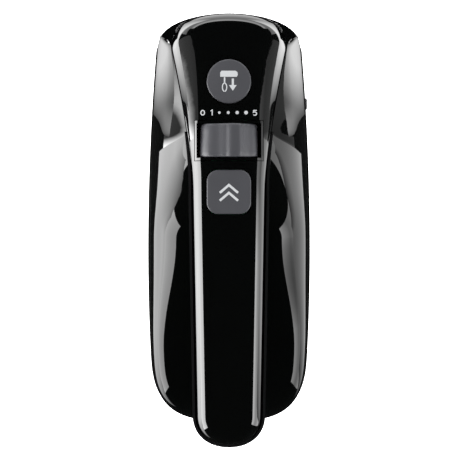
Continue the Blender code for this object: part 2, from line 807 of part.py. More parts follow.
def cord_gland():
    """Rubber grommet in the stern, where the mains lead would go in."""
    flange = GLAND_R + 0.0016
    inside = WALL + 0.0020
    profile = [
        (flange, inside + 0.0018),
        (flange, inside),
        (GLAND_R, inside),
        (GLAND_R, -0.0006),
        (flange, -0.0006),
        (flange, -0.0020),
        (GLAND_R - 0.0010, -0.0080),
        (GLAND_BORE_R, -0.0080),
        (GLAND_BORE_R, inside + 0.0018),
    ]
    turned("cord_gland", profile, RUBBER, 18, ring=True, **gland_place())


# ------------------------------------------------------------------ controls
def dome(radius, thick, rise, edge):
    """Profile of a button cap whose top is slightly domed; its lowest level is 0."""
    points = [(0, thick + rise), (radius * 0.5, thick + rise * 0.78), (radius * 0.82, thick + rise * 0.28)]
    points += [(radius - edge, thick), (radius - edge * 0.3, thick - edge * 0.3), (radius, thick - edge)]
    return points + [(radius, 0), (0, 0)]


def eject_button():
    thick = 0.0050
    low = top_z(EJECT_Y) + EJECT_PROUD - thick
    profile = dome(EJECT_R, thick, 0.0007, 0.0009)
    turned("eject_button", profile, BUTTON_GREY, 32, location=(0, EJECT_Y, low))
    return low


YOKE_Z = PUSH_ROD_TOP_Z + GAP
YOKE_HALF_Y = 0.0042
YOKE_THICK = 0.0034
FOOT_HEIGHT = 0.0030


def ejector(cap_low):
    """Stem and yoke under the button, the two push rods in the spindles, and the return spring."""
    low = YOKE_Z + FOOT_HEIGHT
    yoke = block(
        "ejector_yoke",
        (-SPINDLE_X - 0.004, EJECT_Y - YOKE_HALF_Y, low),
        (SPINDLE_X + 0.004, EJECT_Y + YOKE_HALF_Y, low + YOKE_THICK),
        DARK_PLASTIC,
    )
    stem_top = cap_low - GAP
    join(yoke, cylinder_cutter("stem", 0.0036, low + 0.001, stem_top, y=EJECT_Y, steps=20))
    for i, side in enumerate((-1, 1)):
        foot = cylinder_cutter(f"foot_{i}", 0.0036, YOKE_Z, low + 0.001, side * SPINDLE_X, EJECT_Y, 20)
        join(yoke, foot)
        name = ("left_push_rod", "right_push_rod")[i]
        place = {"location": (side * SPINDLE_X, WORM_Y, 0)}
        rod(name, SHANK_R - 2 * RUNNING, SHANK_TOP_Z + GAP, PUSH_ROD_TOP_Z, STEEL, 16, **place)
    coil("ejector_spring", 0.0046, 0.0006, BOX_TOP_Z + GAP, low - GAP, 5)


def coil(name, radius, thick, low, high, turns, spot=(0.0, EJECT_Y)):
    """A compression spring that stands between two levels."""
    steps = 10 * turns
    points = []
    for i in range(steps + 1):
        a = 2 * math.pi * i / 10
        z = mix(low + thick, high - thick, i / steps)
        points.append((spot[0] + radius * math.cos(a), spot[1] + radius * math.sin(a), z))
    return wire(name, points, thick, STEEL, 1)


def turbo_button():
    thick = 0.0042
    low = top_z(TURBO_Y) + TURBO_PROUD - thick
    outline = rounded_square(TURBO_SIDE, TURBO_CORNER, TURBO_Y)
    cap = plate("turbo_button", outline, low, low + thick, BUTTON_GREY)
    edge = cap.modifiers.new("edges", "BEVEL")
    edge.width = 0.0006
    edge.segments = 2
    edge.limit_method = "ANGLE"
    stem_low = low - 0.0026
    stem = block(
        "turbo_stem", (-0.003, TURBO_Y - 0.003, stem_low), (0.003, TURBO_Y + 0.003, low + 0.001), None
    )
    join(cap, stem)
    return stem_low


DIAL_STEPS = 45
DIAL_SHAFT_R = 0.0016


def dial_profile():
    """Dial seen along its axis: a barrel with a finger ridge between two shallow hollows."""
    points = []
    for i in range(DIAL_STEPS):
        a = 360 * i / DIAL_STEPS
        off = (a + 180) % 360 - 180
        ridge = DIAL_RIDGE * math.exp(-((off / 14) ** 4))
        hollow = DIAL_HOLLOW * math.exp(-(((abs(off) - 36) / 14) ** 2))
        r = DIAL_R + ridge - hollow
        turn = math.radians(90 - a - DIAL_SET_DEG)
        points.append((r * math.cos(turn), r * math.sin(turn)))
    return points


def dial_axis_z():
    return top_z(DIAL_Y) - DIAL_SINK


def speed_dial():
    """Barrel thumb dial that turns about its own length, with a shaft into the potentiometer."""
    z = dial_axis_z()
    half = DIAL_LENGTH / 2
    rows = []
    for y, shrink in ((-half, 0.97), (-half + 0.0008, 1.0), (half - 0.0016, 0.96), (half, DIAL_FRONT)):
        rows.append([(x * shrink, DIAL_Y + y, z + h * shrink) for x, h in dial_profile()])
    dial = add("speed_dial", mesh_of(surface(rows, around=True, capped=True)), BUTTON_GREY)
    shaft = turned(
        "dial_shaft",
        [(0, 0.006), (DIAL_SHAFT_R, 0.006), (DIAL_SHAFT_R, -0.001), (0, -0.001)],
        None,
        16,
        **along_y(DIAL_Y + half, z=z),
    )
    join(dial, shaft)


BOARD_Z = 0.1032
BOARD_HALF_X = 0.0085
BOARD_Y0, BOARD_Y1 = -0.012, 0.056


def control_electronics(turbo_stem_low):
    top = BOARD_Z + 0.0016
    block("control_board", (-BOARD_HALF_X, BOARD_Y0, BOARD_Z), (BOARD_HALF_X, BOARD_Y1, top), BOARD_GREEN)
    pot_y = DIAL_Y + DIAL_LENGTH / 2 + 0.0012
    z = dial_axis_z()
    pot = block(
        "speed_potentiometer",
        (-0.0070, pot_y, top + GAP),
        (0.0070, pot_y + 0.0050, z + 0.0036),
        DARK_PLASTIC,
    )
    bore = turned(
        "pot_bore",
        [(0, 0.02), (DIAL_SHAFT_R + RUNNING, 0.02), (DIAL_SHAFT_R + RUNNING, -0.02), (0, -0.02)],
        None,
        16,
        **along_y(pot_y, z=z),
    )
    cut(pot, bore)
    plunger = 0.0024
    block(
        "turbo_switch",
        (-0.0035, TURBO_Y - 0.0062, top + GAP),
        (0.0035, TURBO_Y + 0.0062, turbo_stem_low - GAP - plunger),
        DARK_PLASTIC,
    )


# ------------------------------------------------------------------ gears
def worm_pitch_r():
    return SPINDLE_X - wheel_pitch_r()


def wheel_pitch_r():
    return MODULE * WHEEL_TEETH / 2


def worm_section():
    """The worm's cross section: one lobe for each start, as (radius, angle) points."""
    lead = MODULE * WORM_STARTS / 2  # axial travel for each radian
    root, tip = worm_pitch_r() - DEDENDUM, worm_pitch_r() + ADDENDUM
    lobe = 2 * math.pi / WORM_STARTS
    tip_half, root_half = TIP_THICK / 2 / lead, ROOT_THICK / 2 / lead
    points = []
    for start in range(WORM_STARTS):
        centre = start * lobe
        points += [(root, centre - root_half), (tip, centre - tip_half)]
        points += [(tip, centre + tip_half), (root, centre + root_half)]
        valley = lobe - 2 * root_half
        points += [(root, centre + root_half + valley * i / 3) for i in (1, 2)]
    return points


def worm_shaft():
    """Armature shaft with the two-start worm cut on its front end."""
    lead = MODULE * WORM_STARTS / 2
    section = worm_section()
    layers = 26
    rows = []
    for i in range(layers + 1):
        y = WORM_LENGTH * (i / layers - 0.5)
        polar = [(r, a + y / lead) for r, a in section]
        rows.append([(r * math.cos(a), WORM_Y + y, MOTOR_Z + r * math.sin(a)) for r, a in polar])
    worm = add("worm_shaft", mesh_of(surface(rows, around=True, capped=True)), STEEL)
    profile = [(0, SHAFT_FRONT_Y), (SHAFT_R, SHAFT_FRONT_Y), (SHAFT_R, SHAFT_REAR_Y), (0, SHAFT_REAR_Y)]
    join(worm, turned("shaft_core", profile, None, 20, **along_y(0, z=MOTOR_Z)))


def worm_wheel(name, x, side):
    """A helical wheel whose teeth lean with the worm's thread and straddle it at rest."""
    lead = MODULE * WORM_STARTS / 2
    twist = -(lead / worm_pitch_r()) / wheel_pitch_r()
    pitch_angle = 2 * math.pi / WHEEL_TEETH
    root, tip = wheel_pitch_r() - DEDENDUM, wheel_pitch_r() + ADDENDUM
    root_half, tip_half = ROOT_THICK / 2 / root, TIP_THICK / 2 / tip
    facing = math.pi if side > 0 else 0.0
    rows = []
    for z in (-WHEEL_WIDTH / 2, 0.0, WHEEL_WIDTH / 2):
        row = []
        for tooth in range(WHEEL_TEETH):
            middle = facing + (tooth + 0.5) * pitch_angle + twist * z
            for r, off in ((root, -root_half), (tip, -tip_half), (tip, tip_half), (root, root_half)):
                a = middle + off
                row.append((x + r * math.cos(a), WORM_Y + r * math.sin(a), MOTOR_Z + z))
        rows.append(row)
    wheel = add(name, mesh_of(surface(rows, around=True, capped=True)), WHITE_PLASTIC)
    cut(wheel, cylinder_cutter(f"{name}_bore", SPINDLE_R + GAP, 0.0, 0.08, x, WORM_Y))


BOX_LOW_Z = CHASSIS_Z + 0.0025 + GAP
BOX_TOP_Z = 0.0560
BOX_HALF_Y = 0.0175
LID_THICK = 0.0026


def gearbox():
    """An open tray with holes for the shaft and the spindles, and the lid that closes it."""
    half_x = SPINDLE_X + wheel_pitch_r() + ADDENDUM + 0.0010
    wall = 0.0016
    lid_z = BOX_TOP_Z - LID_THICK
    low = (-half_x + wall, WORM_Y - BOX_HALF_Y, BOX_LOW_Z)
    high = (half_x - wall, WORM_Y + BOX_HALF_Y, lid_z - GAP)
    tray = block("gearbox_tray", low, high, DARK_PLASTIC)
    tray_room = block(
        "tray_room",
        (-0.06, WORM_Y - BOX_HALF_Y + wall, BOX_LOW_Z + 0.003),
        (0.06, WORM_Y + BOX_HALF_Y - wall, BOX_TOP_Z + 0.01),
        None,
    )
    shaft_way = turned(
        "shaft_way",
        [(0, 0.04), (BEARING_R + GAP, 0.04), (BEARING_R + GAP, -0.04), (0, -0.04)],
        None,
        24,
        **along_y(WORM_Y, z=MOTOR_Z),
    )
    cut(tray, tray_room, shaft_way)
    lid = block(
        "gearbox_lid", (low[0], low[1], lid_z), (high[0], high[1], BOX_TOP_Z), DARK_PLASTIC
    )
    for side, hand in ((-1, "left"), (1, "right")):
        x = side * SPINDLE_X
        place = {"location": (x, WORM_Y, 0)}
        seat = BUSH_R + GAP
        cut(tray, cylinder_cutter(f"{hand}_tray_seat", seat, 0.0, 0.03, x, WORM_Y))
        cut(lid, cylinder_cutter(f"{hand}_lid_seat", seat, 0.04, 0.08, x, WORM_Y))
        low_bush = (BOX_LOW_Z - 0.0018, BOX_LOW_Z + 0.0036)
        tube(f"{hand}_lower_bush", BUSH_R, SPINDLE_R + RUNNING, *low_bush, BRONZE, **place)
        top_bush = (lid_z - 0.0010, BOX_TOP_Z + 0.0010)
        tube(f"{hand}_upper_bush", BUSH_R, SPINDLE_R + RUNNING, *top_bush, BRONZE, **place)
        length = (SPINDLE_BOTTOM_Z, SPINDLE_TOP_Z)
        tube(f"{hand}_spindle", SPINDLE_R, SHANK_R + RUNNING, *length, STEEL, **place)
        worm_wheel(f"{hand}_worm_wheel", x, side)


BUSH_R = 0.0060
BEARING_R = 0.0070


# ------------------------------------------------------------------ motor
def motor():
    """Universal motor: stator with two field coils, armature, commutator, fan, brushes and bearings."""
    bore = CORE_R + AIR_GAP
    stator = block(
        "stator_core",
        (-STATOR_HALF_X, CORE_Y0, MOTOR_Z - STATOR_HALF_Z),
        (STATOR_HALF_X, CORE_Y1, MOTOR_Z + STATOR_HALF_Z),
        STEEL,
    )
    opening = turned(
        "stator_bore",
        [(0, 0.05), (bore, 0.05), (bore, -0.05), (0, -0.05)],
        None,
        36,
        **along_y(0, z=MOTOR_Z),
    )
    cut(stator, opening)
    for side, hand in ((-1, "left"), (1, "right")):
        x0, x1 = sorted((side * (bore - 0.0015), side * (STATOR_HALF_X - STATOR_YOKE)))
        low = (x0, CORE_Y0 - 0.04, MOTOR_Z - COIL_HALF_Z - COIL_PLAY)
        high = (x1, CORE_Y1 + 0.04, MOTOR_Z + COIL_HALF_Z + COIL_PLAY)
        cut(stator, block(f"{hand}_coil_window", low, high, None))
        field_coil(f"{hand}_field_coil", side)
    armature()
    bearings_and_brushes()


STATOR_YOKE = 0.0015  # what a coil's window leaves of the stator's side
COIL_HALF_Z = 0.0068
COIL_PLAY = 0.0007
COIL_OVERHANG = 0.0070


def field_coil(name, side):
    """A wound loop that fills one stator window and stands out at both ends."""
    x0, x1 = sorted((side * (CORE_R + AIR_GAP + 0.0030), side * (STATOR_HALF_X - STATOR_YOKE - 0.0011)))
    low = (x0, CORE_Y0 - COIL_OVERHANG, MOTOR_Z - COIL_HALF_Z)
    high = (x1, CORE_Y1 + COIL_OVERHANG, MOTOR_Z + COIL_HALF_Z)
    block(name, low, high, COPPER, 0.0014)


def armature():
    axis = {"z": MOTOR_Z}
    grooves = 12
    core = []
    for i in range(grooves * 4):
        a = 2 * math.pi * i / (grooves * 4)
        r = CORE_R if i % 4 else CORE_R - 0.0022
        core.append((r * math.cos(a), r * math.sin(a)))
    rows = [[(x, y, MOTOR_Z + h) for x, h in core] for y in (CORE_Y0, CORE_Y1)]
    rotor = add("armature_core", mesh_of(surface(rows, around=True, capped=True)), STEEL)
    hole = turned(
        "core_bore",
        [(0, 0.06), (SHAFT_R + GAP, 0.06), (SHAFT_R + GAP, -0.06), (0, -0.06)],
        None,
        20,
        **along_y(0, **axis),
    )
    cut(rotor, hole)
    inner = SHAFT_R + GAP
    rear = [(0.0125, 0.0), (0.0132, -0.003), (0.0105, -0.0058), (inner, -0.0058), (inner, 0.0)]
    front = [(r, -z) for r, z in rear][::-1]
    turned("front_winding", front, COPPER, 24, ring=True, **along_y(CORE_Y1 + GAP, **axis))
    turned("rear_winding", rear, COPPER, 24, ring=True, **along_y(CORE_Y0 - GAP, **axis))
    length = (COMMUTATOR_Y0, COMMUTATOR_Y1)
    tube("commutator", COMMUTATOR_R, inner, *length, COPPER, 24, **along_y(0, **axis))
    cooling_fan()


def cooling_fan():
    """Radial fan: a backplate and hub with blades joined to it."""
    hub_r, hub_length, plate_back = 0.0062, 0.0070, -0.0014
    inner = SHAFT_R + GAP
    hub = [(FAN_R, 0.0), (FAN_R, plate_back), (inner, plate_back), (inner, hub_length), (hub_r, hub_length)]
    hub.append((hub_r, 0.0))
    fan = turned("cooling_fan", hub, DARK_PLASTIC, 32, ring=True, **along_y(FAN_Y, z=MOTOR_Z))
    for i in range(FAN_BLADES):
        low = (hub_r - 0.0004, FAN_Y - 0.0005, -0.0005)
        blade = block(f"blade_{i}", low, (FAN_R - 0.0004, FAN_Y + 0.0062, 0.0005), None)
        turn = Matrix.Rotation(2 * math.pi * i / FAN_BLADES, 4, "Y")
        blade.matrix_world = Matrix.Translation((0, 0, MOTOR_Z)) @ turn @ Matrix.Translation(blade.location)
        join(fan, blade)


BRUSH_HALF_Y = 0.0025
BRUSH_HALF_Z = 0.0030
HOLDER_WALL = 0.0014


def bearings_and_brushes():
    axis = {"z": MOTOR_Z}
    bore = SHAFT_R + RUNNING
    front = (WORM_Y + BOX_HALF_Y - 0.0036, WORM_Y + BOX_HALF_Y + 0.0004)
    rear = (SHAFT_REAR_Y + 0.0010, SHAFT_REAR_Y + 0.0060)
    tube("front_bearing", BEARING_R, bore, *front, BRONZE, 24, **along_y(0, **axis))
    tube("rear_bearing", BEARING_R, bore, *rear, BRONZE, 24, **along_y(0, **axis))
    low = (-0.024, rear[0] + 0.0006, BOX_LOW_Z)
    bracket = block("rear_bracket", low, (0.024, rear[1] - 0.0006, MOTOR_Z + 0.014), DARK_PLASTIC, 0.001)
    seat = turned(
        "rear_seat",
        [(0, 0.03), (BEARING_R + GAP, 0.03), (BEARING_R + GAP, -0.03), (0, -0.03)],
        None,
        24,
        **along_y(rear[0], **axis),
    )
    cut(bracket, seat)
    middle = (COMMUTATOR_Y0 + COMMUTATOR_Y1) / 2
    tip = COMMUTATOR_R + RUNNING

    def brush_block(name, near, far, half_y, half_z, finish):
        """A block beside the commutator, from near to far beyond the brush's tip."""
        x0, x1 = sorted((side * (tip + near), side * (tip + far)))
        low = (x0, middle - half_y, MOTOR_Z - half_z)
        return block(name, low, (x1, middle + half_y, MOTOR_Z + half_z), finish)

    for side, hand in ((-1, "left"), (1, "right")):
        brush_block(f"{hand}_brush", 0.0, 0.0095, BRUSH_HALF_Y, BRUSH_HALF_Z, CARBON)
        wall = HOLDER_WALL + GAP
        half_y, half_z = BRUSH_HALF_Y + wall, BRUSH_HALF_Z + wall
        holder = brush_block(f"{hand}_brush_holder", 0.0024, 0.0150, half_y, half_z, BRONZE)
        room = (BRUSH_HALF_Y + GAP, BRUSH_HALF_Z + GAP)
        cut(holder, brush_block(f"{hand}_brush_room", -0.001, 0.0138, *room, None))


def wiring():
    """The suppressor and the mains terminals, on the chassis behind the motor."""
    block("suppressor", (-0.0085, -0.057, BOX_LOW_Z), (0.0085, -0.048, 0.034), WHITE_PLASTIC, 0.001)
    block("terminal_block", (-0.0095, -0.069, BOX_LOW_Z), (0.0095, -0.060, 0.025), WHITE_PLASTIC, 0.0006)


# ------------------------------------------------------------------ beaters
def strip_outline(radius, low, high, neck):
    """Half of a beater loop seen from the side, from the hub round to the tip, as (radius, z)."""
    points = []
    for i in range(15):
        t = i / 14
        angle = math.pi * (1 - t)
        z = mix(low, high, (1 - math.cos(angle)) / 2)
        belly = math.sin(angle) ** 0.62
        lean = 1 + 0.10 * math.cos(angle)
        points.append((max(neck, radius * belly * lean / 1.03), z))
    return points


def beater_loop(name, x, turn_deg, low, high):
    """One bent steel strip: a closed loop standing on edge, with the hub at its top."""
    outer = strip_outline(CAGE_R, low, high, STRIP_THICK)
    centre_z = (low + high) / 2
    inner = []
    for r, z in outer:
        pull = Vector((-r, centre_z - z)).normalized() * STRIP_THICK
        inner.append((max(0.0, r + pull.x), z + pull.y))
    ring = outer + [(-r, z) for r, z in reversed(outer)]
    hole = inner + [(-r, z) for r, z in reversed(inner)]
    turn = Matrix.Translation((x, WORM_Y, 0)) @ Matrix.Rotation(math.radians(turn_deg), 4, "Z")
    rows = []
    for line in (ring, hole):
        for half in (-STRIP_WIDTH / 2, STRIP_WIDTH / 2):
            rows.append([turn @ Vector((r, half, z)) for r, z in line])
    order = [rows[0], rows[1], rows[3], rows[2], rows[0]]
    bm = surface(order, around=True)
    return add(name, mesh_of(bm), CHROME)


def beaters():
    """Each beater: a turned shank with its collar, and two steel loops set crosswise."""
    for side, hand, phase in ((-1, "left", 45.0), (1, "right", 0.0)):
        x = side * SPINDLE_X
        hub_low = CAGE_TOP_Z + 0.0022
        profile = [
            (0, SHANK_TOP_Z),
            (SHANK_R - 0.0007, SHANK_TOP_Z),
            (SHANK_R, SHANK_TOP_Z - 0.0012),
            (SHANK_R, SPINDLE_BOTTOM_Z - 0.0012),
            (COLLAR_R, SPINDLE_BOTTOM_Z - 0.0018),
            (COLLAR_R, SPINDLE_BOTTOM_Z - 0.0060),
            (SHANK_R, SPINDLE_BOTTOM_Z - 0.0075),
            (SHANK_R, hub_low + 0.0050),
            (0.0042, hub_low + 0.0036),
            (0.0042, hub_low),
            (0, hub_low),
        ]
        turned(f"{hand}_beater_shank", profile, CHROME, 16, location=(x, WORM_Y, 0))
        outer_top = hub_low - GAP
        beater_loop(f"{hand}_beater_loop_1", x, phase, CAGE_BOTTOM_Z, outer_top)
        step = STRIP_THICK + GAP
        beater_loop(f"{hand}_beater_loop_2", x, phase + 90, CAGE_BOTTOM_Z + step, outer_top - step)


# ------------------------------------------------------------------ assembly
def set_origin(name, x, y, z):
    """Moves an object's origin onto its joint's axis and leaves its shape where it is."""
    made = bpy.data.objects[name]
    made.data.transform(Matrix.Translation((-x, -y, -z)))
    made.location += Vector((x, y, z))


def place_origins():
    for name in ("worm_shaft", "armature_core"):
        set_origin(name, 0, WORM_Y, MOTOR_Z)
    for side, hand in ((-1, "left"), (1, "right")):
        for piece in ("worm_wheel", "beater_loop_1", "beater_loop_2"):
            set_origin(f"{hand}_{piece}", side * SPINDLE_X, WORM_Y, 0)
    set_origin("speed_dial", 0, DIAL_Y, dial_axis_z())
    set_origin("turbo_button", 0, TURBO_Y, top_z(TURBO_Y))


def hang_on_grip():
    """Parents everything to one empty, which brings the middle of the grip to the world's origin."""
    frame = bpy.data.objects.new("grip_frame", None)
    PARTS.objects.link(frame)
    for made in [*PARTS.objects, *CUTTERS.objects]:
        if made is not frame:
            made.parent = frame
    frame.location = (0, -GRIP_Y, -edge_z(GRIP_Y))


def main():
    top_cover()
    dial_bezel()
    side_shells()
    grip_liner()
    lower_housing()
    housing_screws()
    beater_sockets()
    chassis()
    cord_gland()
    ejector(eject_button())
    speed_dial()
    control_electronics(turbo_button())
    gearbox()
    worm_shaft()
    motor()
    wiring()
    beaters()
    place_origins()
    hang_on_grip()


main()
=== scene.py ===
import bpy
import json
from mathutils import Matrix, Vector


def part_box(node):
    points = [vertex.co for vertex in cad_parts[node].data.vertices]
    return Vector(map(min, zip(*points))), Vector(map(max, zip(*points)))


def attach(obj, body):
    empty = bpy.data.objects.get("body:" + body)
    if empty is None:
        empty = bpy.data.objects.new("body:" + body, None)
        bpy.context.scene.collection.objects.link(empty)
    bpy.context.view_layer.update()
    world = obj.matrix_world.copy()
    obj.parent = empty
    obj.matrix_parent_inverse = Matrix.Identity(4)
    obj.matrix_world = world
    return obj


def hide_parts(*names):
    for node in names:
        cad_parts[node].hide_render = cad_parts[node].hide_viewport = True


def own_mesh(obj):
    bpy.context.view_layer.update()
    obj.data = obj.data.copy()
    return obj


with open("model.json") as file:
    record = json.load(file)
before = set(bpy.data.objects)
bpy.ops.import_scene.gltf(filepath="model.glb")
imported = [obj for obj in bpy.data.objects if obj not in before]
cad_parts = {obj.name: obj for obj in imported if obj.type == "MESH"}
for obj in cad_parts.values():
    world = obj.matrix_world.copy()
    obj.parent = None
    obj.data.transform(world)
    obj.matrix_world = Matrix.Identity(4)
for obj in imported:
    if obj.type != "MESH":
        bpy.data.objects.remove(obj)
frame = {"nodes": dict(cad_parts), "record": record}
"""Looks of the electric hand mixer: fine casings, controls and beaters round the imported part, lit for a
view from straight above. Sizes are in metres, with heights counted from the flat underside; SHIFT brings
them to the row frame, whose origin is the middle of the grip. They are the part's own, apart from
ROOF_NOSE_Y, NOSE_DIP, SQUARE_FROM_Y and SQUARE_TO_Y: with these the visible cover comes lower at the nose
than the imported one, and the side shells are squarer behind."""

import json
import math

import bmesh
import bpy
from mathutils import Matrix, Vector

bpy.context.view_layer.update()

# ------------------------------------------------------------------ sizes
GAP = 0.0003
WALL = 0.0022
SKIN = 0.0012  # wall of the casings that show no cut edge
HALF_WIDTH, WIDEST_Y = 0.0408, -0.010
NOSE_Y, NOSE_TAPER, NOSE_CAP, NOSE_POWER = 0.1055, 0.0055, 0.0155, 2.7
STERN_Y, STERN_TAPER, STERN_CAP, STERN_POWER = -0.095, 0.0035, 0.035, 3.2
LEDGE = 0.0009
CORNER_Y = 0.0955
RIM_Z, BODY_TOP_Z, BODY_CROWN = 0.026, 0.066, 0.002
STERN_ROLL, STERN_ROLL_ROOT = 3.0, 2.5
TOP_Z, TOP_ARCH, COVER_DEPTH, NOSE_DIP, GRIP_DEPTH = 0.128, 0.004, 0.013, 0.014, 0.016
TAIL_Y, TAIL_CAP, TAIL_POWER, TAIL_HALF_WIDTH = -0.1005, 0.0138, 2.2, 0.0150
GRIP_TAPER = 0.018
FLARE_Y, FLARE, FLARE_POWER, HOOK, HOOK_POWER = 0.020, 0.0100, 1.45, 0.0039, 60
ROOF_NOSE_Y, TIP_Y, NOSE_ROLL, NOSE_BEND_Y = 0.1025, 0.0917, 0.010, 0.050
LIP = 0.0008
HAND_ARC_Y, HAND_ARC_R = 0.010, 0.0145
SWEEP_START_Y, JOIN_Y, GRIP_Y = -0.004, 0.046, -0.040
SQUARE_FROM_Y, SQUARE_TO_Y = -0.006, -0.060
EJECT_Y, EJECT_R, EJECT_PROUD, EJECT_TRAVEL = 0.0685, 0.0102, 0.0016, 0.006
SPRING_WIRE, SPRING_TURNS = 0.0006, 5
TURBO_Y, TURBO_SIDE, TURBO_CORNER, TURBO_PROUD = 0.0175, 0.0203, 0.0052, 0.0014
BUTTON_GAP = 0.0004
DIAL_Y, DIAL_LENGTH, DIAL_R = 0.0413, 0.0152, 0.0135
DIAL_RIDGE, DIAL_HOLLOW, DIAL_SINK, DIAL_SET_DEG = 0.0020, 0.0012, 0.0075, 12.0
BEZEL_HALF_X, BEZEL_HALF_Y, BEZEL_PROUD = 0.0158, 0.0092, 0.0003
SPINDLE_X, SPINDLE_R, SPINDLE_BOTTOM_Z = 0.020, 0.0050, -0.0035
RUNNING = 0.0002
SHANK_R, SHANK_TOP_Z, COLLAR_R = 0.0029, 0.0540, 0.0046
CAGE_TOP_Z, CAGE_BOTTOM_Z, CAGE_R = -0.038, -0.100, 0.0230
STRIP_WIDTH, STRIP_THICK = 0.0056, 0.0012
SOCKET_WALL, SOCKET_FLANGE, SOCKET_TOP_Z, SOCKET_PROUD = 0.0016, 0.0014, 0.0070, 0.0024
GLAND_R, GLAND_BORE_R, GLAND_Z = 0.0056, 0.0034, 0.046
SCREW_SPOTS = ((-0.027, 0.030), (0.027, 0.030), (-0.026, -0.062), (0.026, -0.062))
SCREW_HEAD_R, SCREW_SHANK_R, CHASSIS_Z = 0.0029, 0.0015, 0.0120
VENT_HALF_X = 0.012
VENT_YS = [-0.046 - 0.0055 * i for i in range(5)]
COVER_FLAT, GRIP_ROUND = 4.0, 2.6
NOSE_EDGE = 0.90  # how far along its curve the cover stops at the nose, short of upright
EDGE_SHORT_Y = DIAL_Y + 0.04  # from here forward it stops there
HOUSING_RINGS = ((0.0, 1.0), (0.0003, 0.72), (0.0012, 0.42), (0.0034, 0.19), (0.0072, 0.05), (0.0120, 0.0))

FINE = 22  # columns from the middle of a section to its edge
ACROSS = [math.sin(math.pi / 2 * j / FINE) for j in range(-FINE, FINE + 1)]


def smooth(t):
    t = min(1.0, max(0.0, t))
    return t * t * (3 - 2 * t)


def mix(a, b, t):
    return a + (b - a) * t


# ------------------------------------------------------------------ outer form
def side_half_width(y):
    if y > WIDEST_Y:
        return HALF_WIDTH - NOSE_TAPER * ((y - WIDEST_Y) / (NOSE_Y - WIDEST_Y)) ** 2
    return HALF_WIDTH - STERN_TAPER * ((WIDEST_Y - y) / (WIDEST_Y - STERN_Y)) ** 2


def body_half_width(y):
    half = side_half_width(y)
    nose = max(0.0, (y - NOSE_Y + NOSE_CAP) / NOSE_CAP)
    stern = max(0.0, (STERN_Y + STERN_CAP - y) / STERN_CAP)
    half *= math.sqrt(max(0.0, 1 - nose**NOSE_POWER))
    return half * max(0.0, 1 - stern**STERN_POWER) ** (1 / STERN_POWER)


def nose_y(x):
    across = min(1.0, abs(x) / side_half_width(CORNER_Y))
    return NOSE_Y - NOSE_CAP * (1 - (1 - across**2) ** (1 / NOSE_POWER))


def top_z(y):
    return TOP_Z - TOP_ARCH * (y / 0.1) ** 2


def edge_z(y):
    dip = max(0.0, (y - FLARE_Y) / (TIP_Y - FLARE_Y))
    return top_z(y) - COVER_DEPTH - NOSE_DIP * dip


def cover_half_width(y):
    half = TAIL_HALF_WIDTH + GRIP_TAPER * (y - TAIL_Y - TAIL_CAP)
    ahead = max(0.0, (y - FLARE_Y) / (TIP_Y - FLARE_Y))
    return half + FLARE * ahead**FLARE_POWER + HOOK * ahead**HOOK_POWER


def lip(y):
    return LIP * (1 - smooth((y - HAND_ARC_Y) / (JOIN_Y - HAND_ARC_Y)))


def stern_fall(share):
    return max(0.0, 1 - share**STERN_ROLL) ** (1 / STERN_ROLL_ROOT)


def seam_z(y):
    share = min(1.0, max(0.0, (STERN_Y + STERN_CAP - y) / STERN_CAP))
    low = RIM_Z + (BODY_TOP_Z - RIM_Z) * stern_fall(share)
    return mix(low, edge_z(y), smooth((y - SWEEP_START_Y) / (JOIN_Y - SWEEP_START_Y)))


def seam_half_width(y):
    return cover_half_width(y) + lip(y)


def stern_end_y():
    low, high = STERN_Y, STERN_Y + STERN_CAP
    for _ in range(40):
        middle = (low + high) / 2
        if body_half_width(middle) - LEDGE < seam_half_width(middle) + GAP:
            low = middle
        else:
            high = middle
    return high


STERN_END_Y = stern_end_y()
SHIFT = Vector((0.0, -GRIP_Y, -edge_z(GRIP_Y)))


def crown(share, flatness):
    return math.sqrt(max(0.0, 1 - min(1.0, share) ** flatness))


def steps(start, end, count):
    return [mix(start, end, i / count) for i in range(count)]


def tail_rows(half_width, depth, flatness, upper):
    rows = []
    for i in range(20):
        share = math.cos(math.pi / 2 * i / 20)
        y = TAIL_Y + TAIL_CAP * (1 - share)
        narrow = max(0.0, 1 - share**TAIL_POWER) ** (1 / TAIL_POWER)
        row = []
        for v in ACROSS:
            away = (abs(v * narrow) ** TAIL_POWER + share**TAIL_POWER) ** (1 / TAIL_POWER)
            rise = depth * crown(away, flatness) * (1 if upper else -1)
            row.append((v * narrow * half_width(y), y, edge_z(y) + rise - (0 if upper else GAP)))
        rows.append(row)
    return rows


def bow(v):
    half = body_half_width(CORNER_Y) - LEDGE
    return (NOSE_Y - nose_y(v * half)) / (NOSE_Y - nose_y(half))


def cover_row(y, nose_share=0.0):
    bend = smooth((y - NOSE_BEND_Y) / (ROOF_NOSE_Y - NOSE_BEND_Y))
    back = y - bend * (ROOF_NOSE_Y - TIP_Y)
    half = cover_half_width(back)
    reach = mix(1.0, NOSE_EDGE, smooth((y - JOIN_Y) / (EDGE_SHORT_Y - JOIN_Y)))
    at_edge = crown(reach, COVER_FLAT)
    row = []
    for v in ACROSS:
        away = (abs(v) ** COVER_FLAT + nose_share**COVER_FLAT) ** (1 / COVER_FLAT)
        share = (crown(reach * min(1.0, away), COVER_FLAT) - at_edge) / (1 - at_edge)
        row.append((v * half, mix(y, back, bow(v)), edge_z(back) + (top_z(y) - edge_z(back)) * share))
    return row


